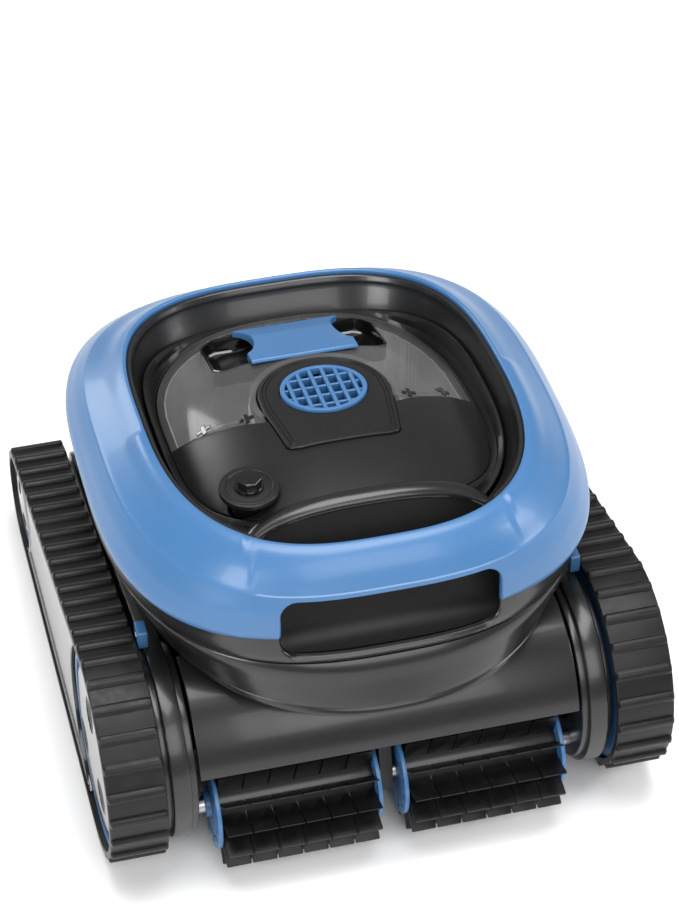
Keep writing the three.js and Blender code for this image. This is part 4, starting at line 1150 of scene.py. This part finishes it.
def build_hand_scoop(sizes):
    xs = np.linspace(-SCOOP_HALF, SCOOP_HALF, 55)
    inner, outer = scoop_line(0), scoop_line(3)
    rows = []
    for x in xs:
        section = []
        for y, z in [*inner, *outer[::-1]]:
            section.append((x, max(y, float(shell_front(x))), min(z, float(deck_z(x, 6)) - 0.6)))
        rows.append(section)
    # The scoop skin, its sides and the grip liner take the half-strength black, painted shade for the
    # recess
    skin = tube("scoop_skin", rows, "recess", 40)
    sides = []
    for x0 in (-SCOOP_HALF, SCOOP_HALF - 3):
        line = [tuple(p) for p in outer if p[1] < 243]
        top = [(line[-1][0], 243), (-14, 241), (-14, 237), (-44, 237), (-47, 232)]
        loop = np.array([(max(y, -47.5), z) for y, z in line] + top)
        sides.append(bar("scoop_side", loop, x0, x0 + 3, "recess", 0.4))
    settle(merged("scoop", skin, *sides), "chassis", "satin_black", "hand_scoop")
    outline = softened([(-55.5, 243), (-40, 243), (-39.4, 257), (-47, 256)], 2, 4)
    rows = []
    for x in np.linspace(-73, 73, 31):
        back = float(shell_front(x) - shell_front(0)) + 0.6
        rows.append([(x, y + back, z - 0.4 * back) for y, z in outline])
    liner = tube("liner", rows, "recess", 40)
    settle(liner, "chassis", "satin_black", "grip_liner")


def build_charging_cap(sizes):
    z = float(deck_z(*CAP)) + 7.7
    profile = [(z, 12), (z, 20.5), (z + 4.2, 20.5), (z + 4.2, 0)]
    disc = lathe("cap_disc", profile, "black", CAP, 96, "z", 1.0)
    profile = [(z + 3.6, 15), (z + 3.6, 18.4), (z + 4.8, 18.0), (z + 4.8, 16)]
    rim = lathe("cap_rim", profile, "black", CAP, 96, "z", 0.3, hollow=True)
    profile = [(z + 4, 0), (z + 4, 10), (z + 7, 10), (z + 7, 0)]
    collar = lathe("cap_collar", profile, "gloss", CAP, 64, "z", 0.6)
    profile = [(z + 6.6, 0), (z + 6.6, 8.6), (z + 12.6, 8.6), (z + 12.6, 0)]
    boss = lathe("cap_boss", profile, "gloss", CAP, 8, "z", 0.8, 20, math.pi / 8)
    bottom = float(deck_z(*CAP)) - 10
    profile = [(bottom, 0), (bottom, 9.3), (z + 1, 9.3), (z + 1, 0)]
    plug = lathe("cap_plug", profile, "gloss", CAP, 48, "z", 0.8)
    settle(merged("port_cap", disc, rim, collar, boss, plug), "cap", "gloss_black", "charging_cap")


# ---------- Tracks ----------
def swept_belt(name):
    """The belt's band: a rounded strip carried round the two wheels."""
    low = resampled(loop_outline(FRONT_R - 3, REAR_R - 3), 4.0)
    ahead, back = np.roll(low, -1, axis=0), np.roll(low, 1, axis=0)
    along = ahead - back
    along /= np.linalg.norm(along, axis=1, keepdims=True)
    out = np.column_stack([along[:, 1], -along[:, 0]])
    x0, x1 = TRACK_INNER, HALF
    section = softened([(x0, -5), (x1, -5), (x1, 0), (x0, 0)], [0.5, 0.5, 1.4, 1.4], 3)
    rows = []
    for p, n in zip(low, out):
        rows.append([(x, *(p + n * rise)) for x, rise in section])
    return new_object(name, np.concatenate(rows), quads(len(rows), len(section), True), "rubber", 30)


def belt_rib(height):
    """One rib of the tread, crown downwards, with round ends and a groove along each side."""
    x0, x1 = TRACK_INNER, HALF
    profile = [(0.0, 4.1), (0.5, 4.05), (0.9, 3.3), (1.1, 3.3), (1.3, 3.7), (height - 0.8, 3.0),
               (height - 0.25, 2.3), (height, 1.4)]
    rows = []
    for rise, half in profile:
        inset = 0.25 + 0.9 * (rise / height) ** 2
        r = min(half, 2.6)
        loop = rounded_box(x0 + inset, x1 - inset, -half, half, r * 0.9, 5)
        rows.append(np.column_stack([loop, np.full(len(loop), -rise)]))
    low = rows[0].copy()
    low[:, 2] = 1.0
    rows.insert(0, low)
    return tube("rib", rows, "rubber", 30)


def build_tracks(sizes):
    low = loop_outline(FRONT_R - 3, REAR_R - 3)
    run = np.concatenate([low, low[:1]])
    reach = np.concatenate([[0], np.cumsum(np.linalg.norm(np.diff(run, axis=0), axis=1))])
    at = (np.arange(sizes.ribs) + 0.5) / sizes.ribs * reach[-1]
    spots = [(0, np.interp(u, reach, run[:, 0]), np.interp(u, reach, run[:, 1])) for u in at]
    path = bpy.data.meshes.new("path")
    count = len(spots)
    path.from_pydata(row(spots).tolist(), [(i, (i + 1) % count) for i in range(count)], [])
    origin = tuple(row((0, 0, 0)))
    ribs = patterned("ribs", "path", path, belt_rib(2.92), "rubber", Origin=origin)
    right = merged("belt_right", swept_belt("band_loop"), ribs)
    settle_pair(right, "chassis", "rubber_black", "track_belt_{}")


def build_wheels(sizes):
    for where, r, centre in (
        ("front", FRONT_R - 8.6, (0, FRONT_R)),
        ("rear", REAR_R - 8.6, (WHEELBASE, REAR_R)),
    ):
        inner, outer = TRACK_INNER + 3, HALF - 4
        web = inner + 12
        profile = [(inner, 6.1), (inner, r), (outer, r), (outer, r - 4.5), (web + 4, r - 4.5),
                   (web, r - 8.5), (web, 13), (outer - 12, 13), (outer - 12, 6.1)]
        wheel = lathe(f"{where}_rim_right", profile, "blue", centre, 128, "x", 0.7, hollow=True)
        cap_r = r - 4.8
        at, face = HALF - 8.5, HALF - 2.6
        profile = [(at - 2.5, 0), (at - 2.5, cap_r), (at, cap_r), (face - 2.4, cap_r * 0.945),
                   (face - 0.7, cap_r * 0.86), (face, cap_r * 0.7), (face + 0.5, cap_r * 0.4),
                   (face + 0.7, 0)]
        hub = lathe(f"{where}_cap_right", profile, "gloss", centre, 128, "x", 1.2)
        for i in range(3):
            a = math.pi / 2 + i * 2 * math.pi / 3
            spot = (centre[0] + cap_r * 0.52 * math.cos(a), centre[1] + cap_r * 0.52 * math.sin(a))
            d = cap_r * 0.2
            dish = [(face - 3, 0), (face - 2.6, d * 0.5), (face - 1.6, d * 0.82), (face - 0.2, d),
                    (face + 9, d + 0.3), (face + 9, 0)]
            cut(hub, lathe("dish", dish, "gloss", spot, 40, "x", 0.4), sharp=24)
        settle_pair(wheel, where + "_wheel_{}_set", "blue_gloss", where + "_wheel_{}")
        settle_pair(hub, where + "_wheel_{}_set", "gloss_black", where + "_hub_cap_{}")


def build_pods(sizes):
    """The drive pods, skirts and brackets beside the tracks."""
    front, rear = (0, FRONT_R), (WHEELBASE, REAR_R)
    side = TRACK_INNER - 0.6
    inner, drum_r = HULL + 0.3, 70
    body = bar("pod_body", resampled(loop_outline(drum_r, 32), 4), inner + 5, side - 4, "shell", 1.4)
    face_r, step_r = drum_r - 4, drum_r - 6
    profile = [(inner, 0), (inner, face_r), (inner + 6, face_r), (inner + 6, 0)]
    face = lathe("pod_face", profile, "shell", front, 128, "x", 1.6)
    profile = [(side - 5, 0), (side - 5, step_r), (side, step_r), (side, 0)]
    step = lathe("pod_step", profile, "shell", front, 128, "x", 1.0)
    tail = bar("pod_tail", resampled(loop_outline(40, 26), 4), inner, side, "shell", 1.4)
    pod = merged("pod_right", body, face, step, tail)

    loop = loop_outline(FRONT_R - 10, REAR_R - 10)
    clear = [circle(front, FRONT_R - 5.6, 160), circle(rear, REAR_R - 5.6, 120)]
    span = np.array([(0, -50), (WHEELBASE, -50), (WHEELBASE, 250), (0, 250)], float)

    def inside(p):
        return within(p, loop) & ~within(p, clear[0]) & ~within(p, clear[1]) & within(p, span)

    outline = region([loop, *clear, span], inside)[0]
    rim = edge(8.5, 0.9) + [(2.4, 0), (3.6, -0.7), (4.6, -0.7)]
    skirt = plate("skirt_right", outline, rim, HALF - 1.5, "gloss", axes="yz")
    tab = rounded_box(20, 34, LIP_Z - 1.6, LIP_Z + 13, 1.6)
    bracket = bar("bracket_body", tab, TRACK_INNER - 8, TRACK_INNER - 1, "blue", 0.8)
    foot, head = TRACK_INNER - 2, TRACK_INNER - 0.4
    profile = [(foot, 0), (foot, 2.6), (head, 2.2), (head, 0)]
    screw = lathe("bracket_screw", profile, "steel", (27, LIP_Z + 5.7), 32, "x", 0.3)
    bracket = merged("bracket_right", bracket, screw)
    settle_pair(pod, "chassis", "gloss_black", "drive_pod_{}")
    settle_pair(skirt, "chassis", "gloss_black", "side_skirt_{}")
    settle_pair(bracket, "chassis", "blue_gloss", "track_bracket_{}")


# ---------- Brush rollers ----------
def build_rollers(sizes):
    x0, x1 = 11.2, 121.1  # the sleeve's ends
    root_r, sleeve_r, tip_r, disc_r, bore_at, shaft_r = 15, 20.5, 46.1, 32, 25.8, 5.6
    pitch = (x1 - x0) / sizes.segments
    y, z = ROLLER
    start = math.radians(139 - 90)
    slit = 0.9
    loop = rounded_box(x0 + slit / 2, x0 + pitch - slit / 2, z + root_r, z + tip_r, 1.0, 4)
    thick = 0.8
    rows = []
    for side, share in ((-thick, 0.9), (-thick * 0.7, 0), (thick * 0.7, 0), (thick, 0.9)):
        flat = offset(loop, 0.5 if share else 0)
        slim = 1 - 0.35 * (flat[:, 1] - z - root_r) / 31
        rows.append(np.column_stack([flat[:, 0], y + side * slim, flat[:, 1]]))
    segment = tube("fin_segment", rows, "fin_rubber")
    fin = repeated("fin", segment, "fin_rubber", sizes.segments, pitch=pitch)
    turn = 2 * math.pi / sizes.fins
    fins = repeated("fins", fin, "fin_rubber", sizes.fins, (0, y, z), turn=turn, start=start)
    profile = [(x0, 16), (x0, sleeve_r), (x1, sleeve_r), (x1, 16)]
    core = lathe("brush_core", profile, "shell", ROLLER, 64, hollow=True)
    brush = merged("brush_right", core, fins)

    def disc(name, low, high, boss):
        hole = shaft_r + 0.2
        line = [(low, hole), (low, disc_r), (high, disc_r)]
        line += [(high, 9), (high + 4, 9), (high + 4, hole)] if boss else [(high, hole)]
        made = lathe(name, line, "blue", ROLLER, 96, "x", 0.6, hollow=True)
        bore = lathe("bore", [(low - 2, 0), (low - 2, 2.5), (high + 2, 2.5), (high + 2, 0)], "blue",
                     (y, z + bore_at), 20, "x", 0)
        cut(made, repeated("bores", bore, "blue", sizes.bores, (0, y, z), turn=2 * math.pi / sizes.bores))
        line = [(high - 0.7, 22.6), (high - 0.7, 23.6), (high + 1, 23.8), (high + 1, 22.4)]
        groove = lathe("groove", line, "blue", ROLLER, 96, "x", 0.1, hollow=True)
        return cut(made, groove)

    inner = disc("inner_disc", 7.9, 10.9, False)
    line = [(1.4, 0), (1.4, shaft_r), (142, shaft_r), (142, 0)]
    shaft = lathe("shaft", line, "steel", ROLLER, 40, "x", 0.6)
    line = [(9.9, 5.8), (9.9, 16), (119.4, 16), (119.4, 5.8)]
    spigot = lathe("spigot", line, "blue", ROLLER, 64, hollow=True)
    hub = merged("roller_hub_right", inner, shaft, spigot)
    outer = disc("end_disc_right", 121.4, 124.4, True)
    settle_pair(brush, "roller_{}_set", "rubber_black", "roller_brush_{}")
    settle_pair(hub, "roller_{}_set", "blue_gloss", "roller_core_{}")
    settle_pair(outer, "roller_{}_set", "blue_gloss", "roller_disc_{}")
    a0, a1 = math.radians(82), math.radians(164)
    arc = np.linspace(a0, a1, 48)
    outline = [(67 * math.cos(a), FRONT_R + 67 * math.sin(a)) for a in arc]
    outline += [(64 * math.cos(a), FRONT_R + 64 * math.sin(a)) for a in arc[::-1]]
    hood = bar("hood", np.array(outline), -HULL + 1.6, HULL - 1.6, "shell", 0.9)
    settle(hood, "chassis", "gloss_black", "front_hood")


# ---------- Filter basket ----------
def build_lid(sizes):
    well = well_outline(0.7)
    pad = pad_outline(1)
    front = front_edge_loop(0.5)
    bowl = rounded_box(-65, 65, 189, 253, 13, 10)

    def inside(p):
        return within(p, well) & ~within(p, front) & ~within(p, pad) & ~within(p, bowl)

    outer, *rest = region([well, pad, front, bowl], inside)
    holes = [(loop, edge(2.6, 0.5)) for loop in rest if abs(area_of(loop)) > 100]
    lid = plate("lid_glass", outer, edge(2.6, 0.8), deck_z, "smoked", holes, 6)
    arc, collar_r = np.linspace(-0.35, math.pi + 0.35, 60), 50
    collar = [(collar_r * math.cos(a), PUMP_Y + collar_r * math.sin(a)) for a in arc]
    section = ((-2.6, -0.4), (-2.3, 0.5), (2.3, 0.5), (2.6, -0.4), (2.3, -1), (-2.3, -1))
    strip = []
    for x, y in collar:
        out = np.array([x, y - PUMP_Y]) / collar_r
        level = float(deck_z(x, y))
        strip.append([(*(np.array([x, y]) + out * w), level + h) for w, h in section])
    band = tube("lid_collar", strip, "smoked", 50)

    def clip_z(x, y):
        return deck_z(x, y) + 0.7

    clips = []
    for side in (-1, 1):
        for x in (58, 86):
            y = PUMP_Y - 17 + 0.4 * (x - 46)
            for long, wide in ((5.2, 1.7), (1.7, 5.2)):
                loop = rounded_box(side * x - long, side * x + long, y - wide, y + wide, 0.8, 4)
                clips.append(plate("clip", loop, edge(1.4, 0.3), clip_z, "gloss"))
        line = [(62, 2), (82, 10), (82, 12.4), (62, 4.4)]
        loop = np.array([(side * x, PUMP_Y - 14 + y) for x, y in line][::side])
        clips.append(plate("strip", loop, edge(1.2, 0.3), lambda u, v: deck_z(u, v) + 0.5, "smoked"))
    settle(merged("lid", lid, band, *clips), "lid", "smoked_clear", "basket_lid")

    rim = [(3, -16), (1.2, -15.4), (0.3, -13.6), (0.3, -1.4), (0.6, -0.6), (1.2, -0.4), (1.9, -0.7),
           (2.3, -1.6), (2.3, -10), (3.0, -12), (4.6, -13.5), (7.5, -14)]
    cup = plate("bowl", bowl, rim, deck_z, "gloss", (), 6)
    settle(cup, "lid", "gloss_black", "finger_bowl")

    front_y, crease, rear_y = 181.0, 226.0, 250.2
    stations = {*np.linspace(front_y, rear_y, 44).tolist(), crease, 182.2, 183.6, 184.4, 196.2, 247.8}
    rows = []
    for y in sorted(stations):
        share = abs(y - 222) / 26
        half = 39.0 if share >= 1 else min(39.0, 43 - 13 * math.sqrt(1 - share**2))
        ends = min(1.0, (y - front_y + 0.1) / 1.2, (rear_y - y + 0.1) / 1.2)
        ease = 1 - math.sqrt(max(0.0, 1 - (1 - ends) ** 2))
        if y < crease:
            rise = 2 + 1.6 * (y - front_y) / (crease - front_y)
        else:
            rise = 3.6 - 3.0 * (y - crease) / (rear_y - crease)
        if 182.2 <= y <= 183.7:
            rise -= 0.5
        low = 0.4 if y < 191.8 else -4
        top, base = float(deck_z(0, y)) + rise - 1.2 * ease, float(deck_z(0, y)) + low
        h = half - 1.2 * ease
        rows.append([(-h, y, base), (-h, y, top - 1.2), (-h + 0.35, y, top - 0.35), (-h + 1.2, y, top),
                     (-h * 0.5, y, top), (0, y, top), (h * 0.5, y, top),
                     (h - 1.2, y, top), (h - 0.35, y, top - 0.35), (h, y, top - 1.2), (h, y, base)])
    grip = tube("grip", rows, "blue", 34)
    ys = row([(0, crease, 0)])[0][1]
    verts = grip.data.vertices
    for e in grip.data.edges:
        if all(abs(verts[v].co.y - ys) < 1e-5 for v in e.vertices):
            e.use_edge_sharp = True
    settle(grip, "lid", "blue_gloss", "basket_grip")


CARRIED = {
    "black": ("intake_nozzle", "track_frame_left", "track_frame_right", "pump_column", "battery_tray",
              "basket_frame", "basket_floor", "roller_hanger"),
    "gloss": ("charging_socket", "impeller"),
    "fin_rubber": ("intake_flap",),
    "smoked": ("lid_knuckle",),
    "net": ("basket_mesh",),
    "steel": ("front_axle_left", "front_axle_right", "rear_axle_left", "rear_axle_right",
              "drive_motor_left", "drive_motor_right", "pump_motor"),
    "wrap": ("battery_pack",),
    "board": ("control_board",),
}


def build_inside(sizes):
    """Gives the working parts that keep their CAD shape their finishes."""
    for finish, nodes in CARRIED.items():
        for node in nodes:
            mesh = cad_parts[node].data
            mesh.materials.clear()
            mesh.materials.append(FINISHES[finish])


# ---------- Stage ----------
LIGHTS = (  # name, place, size and power
    ("key_light", (-2.3, -1.7, 1.5), 1.2, 44),
    ("top_light", (0.1, 0.1, 3.0), 2.1, 96),
    ("side_light", (2.5, -0.7, 1.3), 1.0, 26),
    ("front_light", (0.2, -2.7, 2.3), 2.0, 46),
    ("rear_light", (-1.4, 2.6, 1.0), 0.8, 14),
)
CAMERA_PLACE = (-0.3863, -1.5705, 1.6187)
CAMERA_RIGHT, CAMERA_UP = (0.9693, -0.2458, 0), (0.1622, 0.6396, 0.7513)
CAMERA_LENS = 120.8


def build_stage(sizes):
    scene = bpy.context.scene
    mesh = bpy.data.meshes.new("floor")
    far = 9
    mesh.from_pydata([(-far, -far, 0), (far, -far, 0), (far, far, 0), (-far, far, 0)], [], [(0, 1, 2, 3)])
    floor = bpy.data.objects.new("floor", mesh)
    scene.collection.objects.link(floor)
    paper = Finish("paper", Roughness=0.9)
    paper.set("Base Color", paper.blend(paper.noise(3, 2), (0.9, 0.9, 0.9, 1), (0.93, 0.93, 0.93, 1)))
    mesh.materials.append(paper.material)
    world = bpy.data.worlds.new("studio")
    world.use_nodes = True
    world.node_tree.nodes["Background"].inputs["Color"].default_value = (1, 1, 1, 1)
    world.node_tree.nodes["Background"].inputs["Strength"].default_value = sizes.daylight
    scene.world = world
    aim = Vector((0, 0, 0.12))
    for name, spot, size, power in LIGHTS:
        lamp = bpy.data.lights.new(name, "AREA")
        lamp.size = size
        lamp.energy = power
        made = bpy.data.objects.new(name, lamp)
        made.location = spot
        made.rotation_euler = (aim - Vector(spot)).to_track_quat("-Z", "Y").to_euler()
        scene.collection.objects.link(made)
    camera = bpy.data.objects.new("camera", bpy.data.cameras.new("camera"))
    camera.data.lens = CAMERA_LENS
    camera.data.sensor_width = 36
    camera.data.clip_end = 50
    right, up = Vector(CAMERA_RIGHT), Vector(CAMERA_UP)
    back = right.cross(up).normalized()
    up = back.cross(right).normalized()
    turn = Matrix((right.normalized(), up, back)).transposed().to_4x4()
    camera.matrix_world = Matrix.Translation(CAMERA_PLACE) @ turn
    scene.collection.objects.link(camera)
    scene.camera = camera
    scene.view_settings.view_transform = "Standard"


# ---------- Add-on ----------
class PoolCleanerSizes(bpy.types.PropertyGroup):
    """What can be varied in the cleaner's looks."""

    blue: bpy.props.FloatVectorProperty(
        name="Blue",
        description="Colour of the blue plastic",
        subtype="COLOR",
        default=(0.046, 0.145, 0.32),
    )
    black: bpy.props.FloatVectorProperty(
        name="Black",
        description="Colour of the black plastic",
        subtype="COLOR",
        default=(0.008, 0.008, 0.0084),
    )
    hand_fillet: bpy.props.FloatProperty(
        name="Hand hole lip",
        description="Radius of the hand hole's outer edge",
        subtype="DISTANCE",
        unit="LENGTH",
        default=0.0028,
    )
    ribs: bpy.props.IntProperty(name="Belt ribs", description="Ribs round each belt", default=48)
    fins: bpy.props.IntProperty(name="Brush fins", description="Fins round each brush", default=14)
    segments: bpy.props.IntProperty(name="Fin segments", description="Pieces along each fin", default=6)
    bores: bpy.props.IntProperty(
        name="Disc bores", description="Small holes round each end disc", default=12)
    slats: bpy.props.IntProperty(
        name="Grille slats", description="Tall slats across the outlet", default=6)
    daylight: bpy.props.FloatProperty(
        name="Daylight", description="Strength of the even light", default=0.3)


class POOL_OT_finishes(bpy.types.Operator):
    """Makes the procedural materials."""

    bl_idname = "pool.finishes"
    bl_label = "Finishes"
    bl_options = {"REGISTER", "UNDO"}

    def execute(self, context):
        make_finishes(context.scene.pool_cleaner)
        return {"FINISHED"}


class POOL_OT_top_cover(bpy.types.Operator):
    """Builds the blue cover and the black band below it."""

    bl_idname = "pool.top_cover"
    bl_label = "Top cover"
    bl_options = {"REGISTER", "UNDO"}

    def execute(self, context):
        build_top_cover(context.scene.pool_cleaner)
        return {"FINISHED"}


class POOL_OT_lower_body(bpy.types.Operator):
    """Builds the lower shell with its front brow."""

    bl_idname = "pool.lower_body"
    bl_label = "Lower body"
    bl_options = {"REGISTER", "UNDO"}

    def execute(self, context):
        build_lower_body(context.scene.pool_cleaner)
        return {"FINISHED"}


class POOL_OT_inner_wall(bpy.types.Operator):
    """Builds the wall and rim round the well."""

    bl_idname = "pool.inner_wall"
    bl_label = "Inner wall"
    bl_options = {"REGISTER", "UNDO"}

    def execute(self, context):
        build_inner_wall(context.scene.pool_cleaner)
        return {"FINISHED"}


class POOL_OT_deck(bpy.types.Operator):
    """Builds the deck plate and the pump pad."""

    bl_idname = "pool.deck"
    bl_label = "Deck"
    bl_options = {"REGISTER", "UNDO"}

    def execute(self, context):
        build_deck(context.scene.pool_cleaner)
        return {"FINISHED"}


class POOL_OT_grille(bpy.types.Operator):
    """Builds the outlet grille."""

    bl_idname = "pool.grille"
    bl_label = "Grille"
    bl_options = {"REGISTER", "UNDO"}

    def execute(self, context):
        build_grille(context.scene.pool_cleaner)
        return {"FINISHED"}


class POOL_OT_hand_scoop(bpy.types.Operator):
    """Builds the scoop behind the handle."""

    bl_idname = "pool.hand_scoop"
    bl_label = "Hand scoop"
    bl_options = {"REGISTER", "UNDO"}

    def execute(self, context):
        build_hand_scoop(context.scene.pool_cleaner)
        return {"FINISHED"}


class POOL_OT_charging_cap(bpy.types.Operator):
    """Builds the cap of the charging port."""

    bl_idname = "pool.charging_cap"
    bl_label = "Charging cap"
    bl_options = {"REGISTER", "UNDO"}

    def execute(self, context):
        build_charging_cap(context.scene.pool_cleaner)
        return {"FINISHED"}


class POOL_OT_tracks(bpy.types.Operator):
    """Builds the two ribbed belts."""

    bl_idname = "pool.tracks"
    bl_label = "Tracks"
    bl_options = {"REGISTER", "UNDO"}

    def execute(self, context):
        build_tracks(context.scene.pool_cleaner)
        return {"FINISHED"}


class POOL_OT_wheels(bpy.types.Operator):
    """Builds the wheels and their hub caps."""

    bl_idname = "pool.wheels"
    bl_label = "Wheels"
    bl_options = {"REGISTER", "UNDO"}

    def execute(self, context):
        build_wheels(context.scene.pool_cleaner)
        return {"FINISHED"}


class POOL_OT_pods(bpy.types.Operator):
    """Builds the drive pods, skirts and brackets."""

    bl_idname = "pool.pods"
    bl_label = "Pods"
    bl_options = {"REGISTER", "UNDO"}

    def execute(self, context):
        build_pods(context.scene.pool_cleaner)
        return {"FINISHED"}


class POOL_OT_rollers(bpy.types.Operator):
    """Builds the brush rollers and the hood over them."""

    bl_idname = "pool.rollers"
    bl_label = "Rollers"
    bl_options = {"REGISTER", "UNDO"}

    def execute(self, context):
        build_rollers(context.scene.pool_cleaner)
        return {"FINISHED"}


class POOL_OT_lid(bpy.types.Operator):
    """Builds the basket's smoked lid, finger bowls and grip."""

    bl_idname = "pool.lid"
    bl_label = "Lid"
    bl_options = {"REGISTER", "UNDO"}

    def execute(self, context):
        build_lid(context.scene.pool_cleaner)
        return {"FINISHED"}


class POOL_OT_inside(bpy.types.Operator):
    """Gives the working parts inside their finishes."""

    bl_idname = "pool.inside"
    bl_label = "Inside"
    bl_options = {"REGISTER", "UNDO"}

    def execute(self, context):
        build_inside(context.scene.pool_cleaner)
        return {"FINISHED"}


class POOL_OT_stage(bpy.types.Operator):
    """Builds the floor, lights and camera."""

    bl_idname = "pool.stage"
    bl_label = "Stage"
    bl_options = {"REGISTER", "UNDO"}

    def execute(self, context):
        build_stage(context.scene.pool_cleaner)
        return {"FINISHED"}


OPERATORS = (
    POOL_OT_finishes,
    POOL_OT_top_cover,
    POOL_OT_lower_body,
    POOL_OT_inner_wall,
    POOL_OT_deck,
    POOL_OT_grille,
    POOL_OT_hand_scoop,
    POOL_OT_charging_cap,
    POOL_OT_tracks,
    POOL_OT_wheels,
    POOL_OT_pods,
    POOL_OT_rollers,
    POOL_OT_lid,
    POOL_OT_inside,
    POOL_OT_stage,
)


class POOL_PT_sidebar(bpy.types.Panel):
    """Lists the building steps."""

    bl_label = "Pool Cleaner"
    bl_space_type = "VIEW_3D"
    bl_region_type = "UI"
    bl_category = "Pool Cleaner"

    def draw(self, context):
        for key in PoolCleanerSizes.__annotations__:
            self.layout.prop(context.scene.pool_cleaner, key)
        for step in OPERATORS:
            self.layout.operator(step.bl_idname)


def register():
    bpy.utils.register_class(PoolCleanerSizes)
    bpy.types.Scene.pool_cleaner = bpy.props.PointerProperty(type=PoolCleanerSizes)
    for step in (*OPERATORS, POOL_PT_sidebar):
        bpy.utils.register_class(step)


def unregister():
    for step in (POOL_PT_sidebar, *reversed(OPERATORS)):
        bpy.utils.unregister_class(step)
    del bpy.types.Scene.pool_cleaner
    bpy.utils.unregister_class(PoolCleanerSizes)


def main():
    register()
    for step in OPERATORS:
        group, name = step.bl_idname.split(".")
        getattr(getattr(bpy.ops, group), name)()


if __name__ == "__main__":
    main()
